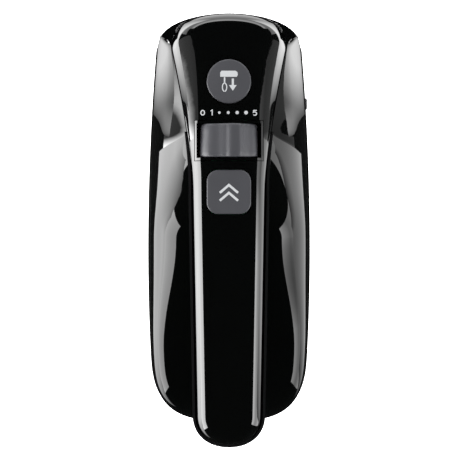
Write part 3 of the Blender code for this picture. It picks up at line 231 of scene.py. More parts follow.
def side_point(y, t):
    rake = (CORNER_Y - TIP_Y) * smooth((y - JOIN_Y) / (TIP_Y - JOIN_Y))
    x0, z0 = body_half_width(y + rake) - LEDGE, RIM_Z + GAP
    x1, z1 = seam_half_width(y) + GAP, seam_z(y)
    steep = math.radians(mix(8, 66, smooth((y + 0.005) / 0.065)))
    square = smooth((SQUARE_FROM_Y - y) / (SQUARE_FROM_Y - SQUARE_TO_Y))
    reach = mix(0.6, 0.96, square) * max(0.0, x0 - x1)
    bend_low = (x0, mix(z0, z1, mix(0.55, 0.84, square)))
    bend_high = (x1 + reach, z1 - min(reach * math.tan(steep), 0.42 * (z1 - z0)))
    a, b, c, d = (1 - t) ** 3, 3 * t * (1 - t) ** 2, 3 * t * t * (1 - t), t**3
    x = a * x0 + b * bend_low[0] + c * bend_high[0] + d * x1
    z = a * z0 + b * bend_low[1] + c * bend_high[1] + d * z1
    return x, y + rake * (z1 - z) / (z1 - z0), z


def nose_row(t):
    x, corner_y, z = side_point(TIP_Y, t)
    half = x - GAP
    front = mix(NOSE_Y - LEDGE, ROOF_NOSE_Y, (z - RIM_Z - GAP) / (seam_z(TIP_Y) - RIM_Z - GAP))
    return [(v * half, mix(front, corner_y, bow(v)), z) for v in ACROSS]


def cover_rows():
    rows = tail_rows(cover_half_width, COVER_DEPTH, COVER_FLAT, True)
    front = ROOF_NOSE_Y - NOSE_ROLL
    rows += [cover_row(y) for y in steps(TAIL_Y + TAIL_CAP, NOSE_BEND_Y, 30)]
    rows += [cover_row(y) for y in steps(NOSE_BEND_Y, front, 24)]
    for i in range(25):
        share = math.sin(math.pi / 2 * i / 24)
        rows.append(cover_row(front + NOSE_ROLL * share, share))
    rows += [nose_row(1 - i / 20) for i in range(1, 21)]
    return rows


def side_rows(side):
    turn = math.asin((STERN_Y + STERN_CAP - STERN_END_Y) / STERN_CAP)
    ys = [STERN_Y + STERN_CAP * (1 - math.sin(turn * i / 28)) for i in range(28, 0, -1)]
    ys += steps(STERN_Y + STERN_CAP, SWEEP_START_Y, 14) + steps(SWEEP_START_Y, JOIN_Y, 30)
    ys += [mix(JOIN_Y, TIP_Y - GAP, math.sin(math.pi / 2 * i / 34)) for i in range(35)]
    rows = []
    for y in ys:
        points = [side_point(y, i / 30) for i in range(31)]
        rows.append([(side * px, py, pz) for px, py, pz in points])
    return rows


def liner_row(middle, edge, half, flatness):
    row = []
    for v in ACROSS:
        share = 1 - crown(abs(v), flatness)
        row.append((v * half, mix(middle[0], edge[0], share), mix(middle[1], edge[1], share)))
    return row


def hand_arc_row(turn):
    angle = math.radians(turn)
    grip_z = edge_z(HAND_ARC_Y) - GAP - GRIP_DEPTH
    middle = (
        HAND_ARC_Y + HAND_ARC_R * math.cos(angle),
        grip_z - HAND_ARC_R + HAND_ARC_R * math.sin(angle),
    )
    if turn > 45:
        y = mix(JOIN_Y, HAND_ARC_Y, (turn - 45) / 45)
        edge = (y, edge_z(y) - GAP)
    else:
        y = mix(JOIN_Y, HAND_ARC_Y, (45 - turn) / 135)
        edge = (y, seam_z(y) - GAP)
    flatness = mix(2.0, GRIP_ROUND, smooth((turn + 90) / 180))
    return liner_row(middle, edge, seam_half_width(y), flatness)


def liner_rows():
    rows = tail_rows(seam_half_width, GRIP_DEPTH, GRIP_ROUND, False)
    for y in steps(TAIL_Y + TAIL_CAP, HAND_ARC_Y, 24):
        low = edge_z(y) - GAP - GRIP_DEPTH
        rows.append(liner_row((y, low), (y, edge_z(y) - GAP), seam_half_width(y), GRIP_ROUND))
    rows += [hand_arc_row(90 - 4.5 * i) for i in range(41)]
    arc_low = edge_z(HAND_ARC_Y) - GAP - GRIP_DEPTH - 2 * HAND_ARC_R
    for i in range(1, 25):
        y = mix(HAND_ARC_Y, STERN_Y + STERN_CAP, i / 24)
        level = mix(arc_low, BODY_TOP_Z + BODY_CROWN, smooth(i / 24))
        rows.append(liner_row((y, level), (y, seam_z(y) - GAP), seam_half_width(y), 2.0))
    for i in range(1, 31):
        share = math.sin(math.pi / 2 * i / 30)
        back = STERN_Y + STERN_CAP - STERN_CAP * share
        y = max(back, STERN_END_Y)
        fall = stern_fall(share)
        rise = BODY_TOP_Z + BODY_CROWN - RIM_Z - GAP
        edge = (y, RIM_Z + GAP + (BODY_TOP_Z - RIM_Z - 2 * GAP) * fall)
        rows.append(
            liner_row((back + LEDGE * share, RIM_Z + GAP + rise * fall), edge, seam_half_width(y), 2.0)
        )
    return rows


def full_outline():
    """The rim of the lower housing, from the middle of the nose round by the right."""
    half_corner = side_half_width(CORNER_Y)
    right = []
    for i in range(28):
        x = half_corner * math.sin(math.radians(78) * i / 28)
        right.append((x, nose_y(x)))
    right += [(side_half_width(y), y) for y in steps(NOSE_Y - NOSE_CAP, STERN_Y + STERN_CAP, 40)]
    for i in range(30):
        y = STERN_Y + STERN_CAP * (1 - math.sin(math.radians(83) * i / 29))
        right.append((body_half_width(y), y))
    x_end = right[-1][0]
    right += [(x_end * (1 - i / 6), mix(right[-1][1], STERN_Y, smooth(i / 3))) for i in range(1, 7)]
    return right + [(-x, y) for x, y in reversed(right[1:-1])]


def spline(points, count):
    """Points along a smooth line through these (Catmull-Rom)."""
    padded = [points[0], *points, points[-1]]
    found = []
    for a, b, c, d in zip(padded, padded[1:], padded[2:], padded[3:]):
        for i in range(count):
            t = i / count
            found.append(tuple(
                0.5 * (2 * q + (r - p) * t + (2 * p - 5 * q + 4 * r - s) * t * t
                        + (3 * q - p - 3 * r + s) * t**3)
                for p, q, r, s in zip(a, b, c, d)
            ))
    return found + [points[-1]]


# ------------------------------------------------------------------ builders
def finish_mesh(mesh, edge_deg=34):
    mesh.shade_smooth()
    mesh.set_sharp_from_angle(angle=math.radians(edge_deg))


def made_object(name, bm, edge_deg=34):
    mesh = bpy.data.meshes.new(name)
    bm.to_mesh(mesh)
    bm.free()
    finish_mesh(mesh, edge_deg)
    made = bpy.data.objects.new(name, mesh)
    bpy.context.scene.collection.objects.link(made)
    return made


def surface(rows, around=False, capped=False):
    bm = bmesh.new()
    grid = [[bm.verts.new(Vector(p) + SHIFT) for p in row] for row in rows]
    last = len(rows[0]) - (0 if around else 1)
    for near, far in zip(grid, grid[1:]):
        for j in range(last):
            k = (j + 1) % len(near)
            bm.faces.new((near[j], near[k], far[k], far[j]))
    if capped:
        bm.faces.new(grid[0])
        bm.faces.new(grid[-1])
    bmesh.ops.remove_doubles(bm, verts=bm.verts, dist=2e-6)
    bmesh.ops.recalc_face_normals(bm, faces=bm.faces)
    return bm


def bake(made, edge_deg=34):
    """Bakes the modifiers into the mesh."""
    bpy.context.view_layer.update()
    graph = bpy.context.evaluated_depsgraph_get()
    mesh = bpy.data.meshes.new_from_object(made.evaluated_get(graph))
    made.modifiers.clear()
    made.data = mesh
    finish_mesh(mesh, edge_deg)
    return made


def shell(name, rows, around=False, floor=False, thickness=SKIN, outward=(0, 0, 1)):
    bm = surface(rows, around)
    if floor:
        low = min(v.co.z for v in bm.verts)
        bm.faces.new([v for v in bm.verts if v.co.z < low + 1e-7])
        bmesh.ops.recalc_face_normals(bm, faces=bm.faces)
    bm.faces.ensure_lookup_table()
    if bm.faces[len(bm.faces) // 2].normal.dot(Vector(outward)) < 0:
        bmesh.ops.reverse_faces(bm, faces=bm.faces)
    made = made_object(name, bm)
    wall = made.modifiers.new("wall", "SOLIDIFY")
    wall.thickness = thickness
    wall.offset = -1.0
    return bake(made)


def lathe(name, profile, sides=64, spot=(0, 0, 0), tilt=None):
    """A closed (radius, height) outline turned round its own Z; it may start and end on the axis."""
    bm = bmesh.new()
    turn = (tilt or Matrix.Identity(3)).to_4x4()
    place = Matrix.Translation(Vector(spot) + SHIFT) @ turn
    rings = []
    for r, z in profile:
        if r == 0:
            rings.append([bm.verts.new(place @ Vector((0, 0, z)))])
            continue
        angles = [2 * math.pi * i / sides for i in range(sides)]
        rings.append([bm.verts.new(place @ Vector((r * math.cos(a), r * math.sin(a), z))) for a in angles])
    pairs = list(zip(rings, rings[1:]))
    if profile[0][0] > 0:
        pairs.append((rings[-1], rings[0]))
    for near, far in pairs:
        for i in range(sides):
            j = (i + 1) % sides
            corners = [near[i % len(near)], near[j % len(near)], far[j % len(far)], far[i % len(far)]]
            bm.faces.new(list(dict.fromkeys(corners)))
    bmesh.ops.recalc_face_normals(bm, faces=bm.faces)
    return made_object(name, bm, 30)


def box_of(name, low, high):
    bm = bmesh.new()
    bmesh.ops.create_cube(bm, size=1.0)
    size = Vector(high) - Vector(low)
    bmesh.ops.scale(bm, vec=size, verts=bm.verts)
    bmesh.ops.translate(bm, vec=(Vector(high) + Vector(low)) / 2 + SHIFT, verts=bm.verts)
    return made_object(name, bm)


def prism(name, outline, z0, z1):
    return made_object(name, surface([[(x, y, z) for x, y in outline] for z in (z0, z1)], True, True))


def rounded(name_points, width, segments=3, angle=30):
    """Rounds the sharp edges of a piece and bakes them."""
    bevel = name_points.modifiers.new("edges", "BEVEL")
    bevel.width = width
    bevel.segments = segments
    bevel.limit_method = "ANGLE"
    bevel.angle_limit = math.radians(angle)
    bevel.use_clamp_overlap = True
    return bake(name_points, 50)


def cut(target, *cutters):
    """Takes the cutters out of the piece, bakes it and drops the cutters."""
    for cutter in cutters:
        step = target.modifiers.new("cut", "BOOLEAN")
        step.object = cutter
        step.operation = "DIFFERENCE"
        step.solver = "EXACT"
    bake(target)
    for cutter in cutters:
        bpy.data.objects.remove(cutter)
    return target


def rounded_square(side, corner, y, count=16):
    inner = side / 2 - corner
    points = []
    for sx, sy, start in ((1, 1, 0), (-1, 1, 90), (-1, -1, 180), (1, -1, 270)):
        for i in range(count):
            a = math.radians(start + 90 * i / (count - 1))
            points.append((sx * inner + corner * math.cos(a), y + sy * inner + corner * math.sin(a)))
    return points


def roof_z(x, y):
    """Height of the cover's roof behind the nose's roll."""
    return edge_z(y) + (top_z(y) - edge_z(y)) * crown(abs(x) / cover_half_width(y), COVER_FLAT)


def stand_in(made, node, body, finish):
    made.data.materials.clear()
    made.data.materials.append(finish)
    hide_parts(node)
    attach(made, body)
    return made


# ------------------------------------------------------------------ materials
class Tree:
    """Small helper that adds nodes to a material and links them."""

    def __init__(self, name):
        self.material = bpy.data.materials.new(name)
        self.material.use_nodes = True
        self.tree = self.material.node_tree
        self.shader = self.tree.nodes["Principled BSDF"]
        self.where = self.node("ShaderNodeTexCoord").outputs["Object"]

    def node(self, kind, **inputs):
        made = self.tree.nodes.new(kind)
        for key, value in inputs.items():
            self.put(made, key.replace("_", " "), value)
        return made

    def put(self, node, socket, value):
        if isinstance(value, bpy.types.NodeSocket):
            self.tree.links.new(value, node.inputs[socket])
        else:
            node.inputs[socket].default_value = value

    def noise(self, scale, detail=3.0, roughness=0.5):
        made = self.node("ShaderNodeTexNoise", Scale=scale, Detail=detail, Roughness=roughness)
        self.put(made, "Vector", self.where)
        return made.outputs["Fac"]

    def spread(self, value, low, high):
        """Brings a value round 0.5 to between low and high."""
        made = self.node("ShaderNodeMapRange")
        self.put(made, "Value", value)
        for key, number in (("From Min", 0.3), ("From Max", 0.7), ("To Min", low), ("To Max", high)):
            self.put(made, key, number)
        return made.outputs["Result"]

    def bump(self, height, strength, distance, under=None):
        made = self.node("ShaderNodeBump", Strength=strength, Distance=distance, Height=height)
        if under:
            self.put(made, "Normal", under)
        return made.outputs["Normal"]

    def tone(self, dark, light, value):
        ramp = self.node("ShaderNodeMix")
        ramp.data_type = "RGBA"
        self.put(ramp, 0, value)
        ramp.inputs[6].default_value = (*dark, 1)
        ramp.inputs[7].default_value = (*light, 1)
        return ramp.outputs[2]

    def end(self, **inputs):
        for key, value in inputs.items():
            self.put(self.shader, key.replace("_", " "), value)
        return self.material


def gloss_black(name, ior):
    t = Tree(name)
    peel = t.bump(t.noise(260.0, 2.0), 0.02, 0.0005)
    return t.end(
        Base_Color=t.tone((0.0008, 0.0010, 0.0010), (0.0014, 0.0018, 0.0016), t.noise(60.0)),
        Roughness=t.spread(t.noise(420.0, 4.0), 0.02, 0.045),
        Normal=peel,
        IOR=ior,
    )


def plastic(name, dark, light, rough, grain, depth, specular=0.5):
    t = Tree(name)
    fine = t.bump(t.noise(grain, 3.0, 0.6), 0.35, depth)
    return t.end(
        Base_Color=t.tone(dark, light, t.noise(90.0)),
        Roughness=t.spread(t.noise(grain * 0.4, 3.0), rough[0], rough[1]),
        Normal=fine,
        Specular_IOR_Level=specular,
    )


def metal(name, dark, light, rough, grain=900.0, depth=0.00003, stretch=(1.0, 1.0, 1.0)):
    t = Tree(name)
    lie = t.node("ShaderNodeMapping", Scale=stretch)
    t.put(lie, "Vector", t.where)
    t.where = lie.outputs["Vector"]
    return t.end(
        Base_Color=t.tone(dark, light, t.noise(70.0)),
        Roughness=t.spread(t.noise(grain * 0.5), rough[0], rough[1]),
        Normal=t.bump(t.noise(grain, 2.0), 0.2, depth),
        Metallic=1.0,
    )


def winding(name, dark, light, scale, direction):
    t = Tree(name)
    wave = t.node("ShaderNodeTexWave", Scale=scale, Distortion=0.6, Detail=2.0)
    wave.bands_direction = direction
    t.put(wave, "Vector", t.where)
    return t.end(
        Base_Color=t.tone(dark, light, wave.outputs["Fac"]),
        Roughness=t.spread(t.noise(300.0), 0.28, 0.42),
        Normal=t.bump(wave.outputs["Fac"], 0.6, 0.0002),
        Metallic=1.0,
    )


GLOSS = gloss_black("gloss_black", 1.48)
ROOF_GLOSS = gloss_black("gloss_black_cover", 1.8)
SATIN = plastic("satin_black", (0.008, 0.008, 0.009), (0.012, 0.012, 0.013), (0.30, 0.40), 2400.0, 0.00004)
GREY = plastic("control_grey", (0.074, 0.074, 0.083), (0.088, 0.088, 0.097),
               (0.36, 0.46), 3200.0, 0.00004, 0.4)
DARK = plastic("moulded_dark", (0.024, 0.024, 0.026), (0.034, 0.034, 0.037), (0.45, 0.6), 1800.0, 0.00008)
WHITE = plastic("moulded_white", (0.72, 0.72, 0.68), (0.82, 0.82, 0.78), (0.38, 0.5), 1500.0, 0.00006)
RUBBER = plastic("rubber_black", (0.010, 0.010, 0.010), (0.020, 0.020, 0.020), (0.7, 0.9), 1600.0, 0.00012)
PRINT = plastic("print_white", (0.62, 0.63, 0.64), (0.72, 0.73, 0.74), (0.45, 0.6), 2500.0, 0.00003)
BOARD = plastic("board_green", (0.012, 0.12, 0.045), (0.03, 0.20, 0.08), (0.3, 0.5), 500.0, 0.00012)
CARBON = plastic("carbon_grey", (0.012, 0.012, 0.012), (0.035, 0.035, 0.035), (0.5, 0.75), 2200.0, 0.00010)
CHROME = metal("chrome_steel", (0.52, 0.53, 0.54), (0.64, 0.65, 0.66), (0.15, 0.24), 700.0)
STEEL = metal("machined_steel", (0.48, 0.48, 0.49), (0.60, 0.60, 0.61), (0.24, 0.36), 1200.0)
LAMINATED = metal(
    "laminated_steel", (0.30, 0.30, 0.31), (0.50, 0.50, 0.51), (0.35, 0.5), 900.0, 0.0002, (0.05, 3.0, 0.05)
)
BRONZE = metal("sintered_bronze", (0.42, 0.27, 0.10), (0.62, 0.44, 0.20), (0.34, 0.5), 2600.0, 0.00008)
COIL = winding("copper_winding", (0.45, 0.17, 0.06), (0.80, 0.40, 0.20), 900.0, "Z")
SEGMENTS = winding("commutator_copper", (0.40, 0.18, 0.08), (0.82, 0.47, 0.26), 300.0, "X")

LOOKS = {
    "black_gloss": GLOSS, "black_satin": SATIN, "button_grey": GREY, "dark_plastic": DARK,
    "white_plastic": WHITE, "steel": STEEL, "chrome": CHROME, "copper": COIL, "bronze": BRONZE,
    "carbon": CARBON, "board": BOARD, "rubber": RUBBER,
}
OWN_LOOKS = {"commutator": SEGMENTS, "stator_core": LAMINATED, "armature_core": LAMINATED}

for part in frame["record"]["subparts"]:
    node = frame["nodes"][part["node"]]
    node.data.materials.clear()
    node.data.materials.append(OWN_LOOKS.get(node.name, LOOKS[part["material_slot"]]))


# ------------------------------------------------------------------ casings
def top_cover():
    cover = shell("cover_skin", cover_rows(), thickness=WALL)
    low, high = TOP_Z - COVER_DEPTH, TOP_Z + 0.01
    hole_r = EJECT_R + BUTTON_GAP
    eject_hole = lathe("eject_hole", [(0, high), (hole_r, high), (hole_r, low), (0, low)],
                       96, (0, EJECT_Y, 0))
    turbo_hole = prism(
        "turbo_hole", rounded_square(TURBO_SIDE + 2 * BUTTON_GAP, TURBO_CORNER, TURBO_Y), low, high
    )
    half_x, half_y = BEZEL_HALF_X + GAP, BEZEL_HALF_Y + GAP
    dial_hole = box_of("dial_hole", (-half_x, DIAL_Y - half_y, low), (half_x, DIAL_Y + half_y, high))
    cut(cover, eject_hole, turbo_hole, dial_hole)
    stand_in(cover, "top_cover", "housing", ROOF_GLOSS)


def dial_bezel():
    rows = []
    for i in range(13):
        y = DIAL_Y + BEZEL_HALF_Y * (i / 6 - 1)
        xs = [BEZEL_HALF_X * j / 24 for j in range(-24, 25)]
        rows.append([(x, y, roof_z(x, y) + BEZEL_PROUD) for x in xs])
    frame_ring = shell("bezel_skin", rows, thickness=WALL)
    opening = math.sqrt((DIAL_R + DIAL_RIDGE) ** 2 - (DIAL_SINK - WALL) ** 2) + BUTTON_GAP
    half_y = DIAL_LENGTH / 2 + BUTTON_GAP
    well = box_of("well", (-opening, DIAL_Y - half_y, TOP_Z - 0.02), (opening, DIAL_Y + half_y, TOP_Z + 0.02))
    cut(frame_ring, well)
    stand_in(frame_ring, "dial_bezel", "housing", ROOF_GLOSS)


def side_shells():
    for side, name in ((-1, "left"), (1, "right")):
        made = shell(f"{name}_shell_skin", side_rows(side), outward=(side, 0, 0.3))
        stand_in(made, f"{name}_shell", "housing", GLOSS)


def stern_wall_y(z):
    fall = (z - RIM_Z - GAP) / (BODY_TOP_Z + BODY_CROWN - RIM_Z - GAP)
    share = (1 - fall**STERN_ROLL_ROOT) ** (1 / STERN_ROLL)
    return STERN_Y + STERN_CAP - (STERN_CAP - LEDGE) * share


def gland_place():
    lean = math.atan2(stern_wall_y(GLAND_Z + GLAND_R) - stern_wall_y(GLAND_Z - GLAND_R), 2 * GLAND_R)
    return (0, stern_wall_y(GLAND_Z), GLAND_Z), Matrix.Rotation(-math.pi / 2 - lean, 3, "X")


def grip_liner():
    liner = shell("liner_skin", liner_rows(), outward=(0, -1, -0.1))
    spot, tilt = gland_place()
    r = GLAND_R + GAP
    cut(liner, lathe("inlet", [(0, 0.02), (r, 0.02), (r, -0.02), (0, -0.02)], 64, spot, tilt))
    stand_in(liner, "grip_liner", "housing", SATIN)
    flange = GLAND_R + 0.0016
    inside = WALL + 0.0020
    profile = [
        (flange - 0.0004, inside + 0.0018), (flange, inside + 0.0014), (flange, inside), (GLAND_R, inside),
        (GLAND_R, -0.0006), (flange - 0.0003, -0.0006), (flange, -0.0010), (flange - 0.0002, -0.0020),
        (flange - 0.0008, -0.0032), (flange - 0.0006, -0.0038), (flange - 0.0014, -0.0050),
        (flange - 0.0012, -0.0056), (flange - 0.0021, -0.0070), (flange - 0.0026, -0.0078),
        (flange - 0.0030, -0.0080), (GLAND_BORE_R + 0.0003, -0.0080), (GLAND_BORE_R, -0.0077),
        (GLAND_BORE_R, inside + 0.0018),
    ]
    gland = lathe("gland_skin", profile, 64, spot, tilt)
    stand_in(gland, "cord_gland", "housing", RUBBER)


def lower_housing():
    outline = full_outline()
    mid_y = (NOSE_Y + STERN_Y) / 2
    rows = []
    for inset, height in spline(HOUSING_RINGS, 5):
        shrink_x = 1 - inset / HALF_WIDTH
        shrink_y = 1 - inset / (NOSE_Y - mid_y)
        rows.append([(x * shrink_x, mid_y + (y - mid_y) * shrink_y, RIM_Z * height) for x, y in outline])
    tub = shell("tub_skin", rows, around=True, floor=True, thickness=WALL, outward=(0, 0, -1))
    cutters = []
    socket = SPINDLE_R + SOCKET_WALL + 2 * GAP
    for side in (-1, 1):
        profile = [(0, 0.01), (socket, 0.01), (socket, -0.01), (0, -0.01)]
        cutters.append(lathe("socket_hole", profile, 64, (side * SPINDLE_X, EJECT_Y, 0)))
    for y in VENT_YS:
        cutters.append(box_of("vent", (-VENT_HALF_X, y, -0.01), (VENT_HALF_X, y + 0.0024, 0.01)))
    head = SCREW_HEAD_R + GAP
    for x, y in SCREW_SPOTS:
        cutters.append(lathe("screw_hole", [(0, 0.01), (head, 0.01), (head, -0.01), (0, -0.01)],
                             48, (x, y, 0)))
    rounded(tub, 0.0004, angle=50)
    cut(tub, *cutters)
    stand_in(tub, "lower_housing", "housing", GLOSS)


def screws_and_sockets():
    head = -0.0002
    for i, (x, y) in enumerate(SCREW_SPOTS):
        profile = [
            (0, CHASSIS_Z + 0.006), (SCREW_SHANK_R, CHASSIS_Z + 0.005), (SCREW_SHANK_R, head + 0.0026),
            (SCREW_HEAD_R, head + 0.0018), (SCREW_HEAD_R, head + 0.0006),
            (SCREW_HEAD_R - 0.0002, head + 0.0002),
            (SCREW_HEAD_R - 0.0006, head), (0, head),
        ]
        screw = lathe(f"screw_skin_{i + 1}", profile, 48, (x, y, 0))
        slots = []
        for sx, sy in ((0.0020, 0.0004), (0.0004, 0.0020)):
            slots.append(box_of("slot", (x - sx, y - sy, head - 0.001), (x + sx, y + sy, head + 0.0009)))
        cut(screw, *slots)
        stand_in(screw, f"housing_screw_{i + 1}", "housing", STEEL)
    inner, outer = SPINDLE_R + RUNNING, SPINDLE_R + SOCKET_WALL
    flange_z = WALL + 2 * GAP
    for side, hand in ((-1, "left"), (1, "right")):
        profile = [
            (outer, SOCKET_TOP_Z), (outer, flange_z + SOCKET_FLANGE),
            (outer + SOCKET_FLANGE, flange_z + SOCKET_FLANGE), (outer + SOCKET_FLANGE, flange_z),
            (outer, flange_z), (outer, 0.0005 - SOCKET_PROUD), (outer - 0.0002, 0.0001 - SOCKET_PROUD),
            (outer - 0.0005, -SOCKET_PROUD), (inner + 0.0003, -SOCKET_PROUD), (inner, 0.0003 - SOCKET_PROUD),
            (inner, SOCKET_TOP_Z),
        ]
        collar = lathe(f"{hand}_collar_skin", profile, 64, (side * SPINDLE_X, EJECT_Y, 0))
        stand_in(collar, f"{hand}_socket_collar", "housing", DARK)


# ------------------------------------------------------------------ controls
def eject_button():
    thick, rise, edge = 0.0050, 0.0007, 0.0009
    low = top_z(EJECT_Y) + EJECT_PROUD - thick
    profile = [(0, thick + rise)]
    inner = EJECT_R - edge
    for i in range(1, 25):
        share = i / 24
        profile.append((inner * share, thick + rise * (1 - share**2.4)))
    for i in range(1, 7):
        a = math.pi / 2 * i / 6
        profile.append((inner + edge * math.sin(a), thick - edge * (1 - math.cos(a))))
    profile += [(EJECT_R, 0), (0, 0)]
    button = lathe("eject_cap", profile, 96, (0, EJECT_Y, low))
    stand_in(button, "eject_button", "ejector", GREY)
    return lambda x, y: low + thick + rise * (1 - min(1.0, math.hypot(x, y - EJECT_Y) / inner) ** 2.4)


def turbo_button():
    thick = 0.0042
    low = top_z(TURBO_Y) + TURBO_PROUD - thick
    stem_low = low - 0.0026
    edge, dish = 0.0008, 0.0003
    rows = []
    heights = [(0.0, 0.0)] + [
        (edge * (1 - math.cos(math.pi / 2 * i / 6)), thick - edge + edge * math.sin(math.pi / 2 * i / 6))
        for i in range(7)
    ]
    for inset, z in heights:
        rows.append((TURBO_SIDE - 2 * inset, TURBO_CORNER - inset, low + z))
    for i in range(1, 11):
        share = i / 10
        side = (TURBO_SIDE - 2 * edge) * (1 - 0.98 * share)
        rows.append((side, (TURBO_CORNER - edge) * (1 - 0.98 * share), low + thick - dish * smooth(share * 1.6)))
    grid = [[(x, y, z) for x, y in rounded_square(side, corner, TURBO_Y)] for side, corner, z in rows]
    cap = made_object("turbo_cap", surface(grid, True, True), 40)
    stem = box_of("stem", (-0.003, TURBO_Y - 0.003, stem_low), (0.003, TURBO_Y + 0.003, low + 0.001))
    step = cap.modifiers.new("stem", "BOOLEAN")
    step.object, step.operation, step.solver = stem, "UNION", "EXACT"
    bake(cap, 40)
    bpy.data.objects.remove(stem)
    stand_in(cap, "turbo_button", "turbo", GREY)
    return lambda x, y: low + thick - dish


def dial_axis_z():
    return top_z(DIAL_Y) - DIAL_SINK


def dial_radius(a):
    """Radius of the dial, an angle in degrees from its ridge."""
    off = (a + 180) % 360 - 180
    ridge = DIAL_RIDGE * math.exp(-((off / 14) ** 4))
    hollow = DIAL_HOLLOW * math.exp(-(((abs(off) - 36) / 14) ** 2))
    return DIAL_R + ridge - hollow


def speed_dial():
    z = dial_axis_z()
    half = DIAL_LENGTH / 2
    sections = [(-half, 0.945), (-half + 0.0001, 0.965), (-half + 0.0003, 0.983), (-half + 0.0008, 1.0)]
    sections += [
        (mix(-half + 0.0008, half - 0.0016, i / 8), mix(1.0, 0.975, smooth(i / 8)))
        for i in range(1, 9)
    ]
    sections += [(half - 0.0008, 0.962), (half - 0.0003, 0.945), (half, 0.925)]
    rows = []
    for y, shrink in sections:
        row = []
        for i in range(180):
            a = 2.0 * i
            turn = math.radians(90 - a - DIAL_SET_DEG)
            r = dial_radius(a) * shrink
            row.append((r * math.cos(turn), DIAL_Y + y, z + r * math.sin(turn)))
        rows.append(row)
    dial = made_object("dial_wheel", surface(rows, True, True), 40)
    shaft_r = 0.0016
    tilt = Matrix.Rotation(-math.pi / 2, 3, "X")
    shaft = lathe(
        "shaft", [(0, 0.006), (shaft_r, 0.006), (shaft_r, -0.001), (0, -0.001)], 32,
        (0, DIAL_Y + half, z), tilt
    )
    step = dial.modifiers.new("shaft", "BOOLEAN")
    step.object, step.operation, step.solver = shaft, "UNION", "EXACT"
    bake(dial, 40)
    bpy.data.objects.remove(shaft)
    stand_in(dial, "speed_dial", "dial", GREY)


def ejector_spring():
    """A fine coil in the box of the imported spring."""
    low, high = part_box("ejector_spring")
    centre = (low + high) / 2 - SHIFT
    radius = (high.x - low.x) / 2 - SPRING_WIRE
    span = (high.z - low.z) / 2 - SPRING_WIRE
    count = SPRING_TURNS * 36
    rows = []
    for i in range(count + 1):
        out = Vector((math.cos(2 * math.pi * i / 36), math.sin(2 * math.pi * i / 36), 0))
        point = centre + radius * out + Vector((0, 0, mix(-span, span, i / count)))
        turns = [2 * math.pi * j / 12 for j in range(12)]
        rows.append([point + SPRING_WIRE * (math.cos(b) * out + Vector((0, 0, math.sin(b)))) for b in turns])
    coil = made_object("spring_coil", surface(rows, True, True))
    stand_in(coil, "ejector_spring", "housing", STEEL)
    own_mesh(coil)


# ------------------------------------------------------------------ printed marks
PRINT_THICK = 0.00012


def printed(name, shapes, height, body):
    """Flat outlines, raised a hair above the surface whose height is given, as one piece."""
    bm = bmesh.new()
    for outline in shapes:
        tops = [bm.verts.new(Vector((x, y, height(x, y) + PRINT_THICK)) + SHIFT) for x, y in outline]
        lows = [bm.verts.new(Vector((x, y, height(x, y) - PRINT_THICK)) + SHIFT) for x, y in outline]
        bm.faces.new(tops)
        bm.faces.new(lows[::-1])
        for i in range(len(outline)):
            j = (i + 1) % len(outline)
            bm.faces.new((tops[j], tops[i], lows[i], lows[j]))
    bmesh.ops.recalc_face_normals(bm, faces=bm.faces)
    made = made_object(name, bm)
    made.data.materials.append(PRINT)
    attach(made, body)
    return made


def disc(x, y, r, count=28):
    turns = [2 * math.pi * i / count for i in range(count)]
    return [(x + r * math.cos(turn), y + r * math.sin(turn)) for turn in turns]


def stroke(points, width):
    """The outline of a line of even width through points, with square ends."""
    left, right = [], []
    for i, (x, y) in enumerate(points):
        before = Vector(points[max(0, i - 1)])
        after = Vector(points[min(len(points) - 1, i + 1)])
        here = Vector((x, y))
        d1 = (here - before).normalized() if i else (after - here).normalized()
        d2 = (after - here).normalized() if i < len(points) - 1 else d1
        normal = Vector((-(d1 + d2).y, (d1 + d2).x)).normalized()
        reach = width / 2 / max(0.3, normal.dot(Vector((-d1.y, d1.x))))
        left.append(tuple(here + normal * reach))
        right.append(tuple(here - normal * reach))
    return left + right[::-1]


def arc(x, y, rx, ry, start, end, count=20):
    turns = [math.radians(mix(start, end, i / count)) for i in range(count + 1)]
    return [(x + rx * math.cos(a), y + ry * math.sin(a)) for a in turns]


def dial_marks():
    y, tall, pen = 0.0541, 0.0026, 0.00046
    half = tall / 2
    shapes = [stroke(arc(-0.0121, y, 0.00085, half - pen / 2, 90, 270), pen)]
    shapes.append(stroke(arc(-0.0121, y, 0.00085, half - pen / 2, -90, 90), pen))
    shapes.append(
        stroke([(-0.00845, y + half - 0.0006), (-0.0077, y + half - 0.0001), (-0.0077, y - half)], pen)
    )
    x = 0.0120
    top = [(x + 0.0008, y + half - pen / 2), (x - 0.00055, y + half - pen / 2), (x - 0.00068, y + 0.0002)]
    bowl = arc(x - 0.00008, y - 0.0004, 0.00085, 0.00078, 125, -140, 18)
    shapes.append(stroke(top + bowl[1:], pen))
    for i, dot_x in enumerate((-0.0044, -0.0003, 0.0038, 0.0079)):
        shapes.append(disc(dot_x, y, 0.00060 + 0.00009 * i))
    printed("dial_marks", shapes, roof_z, "housing")


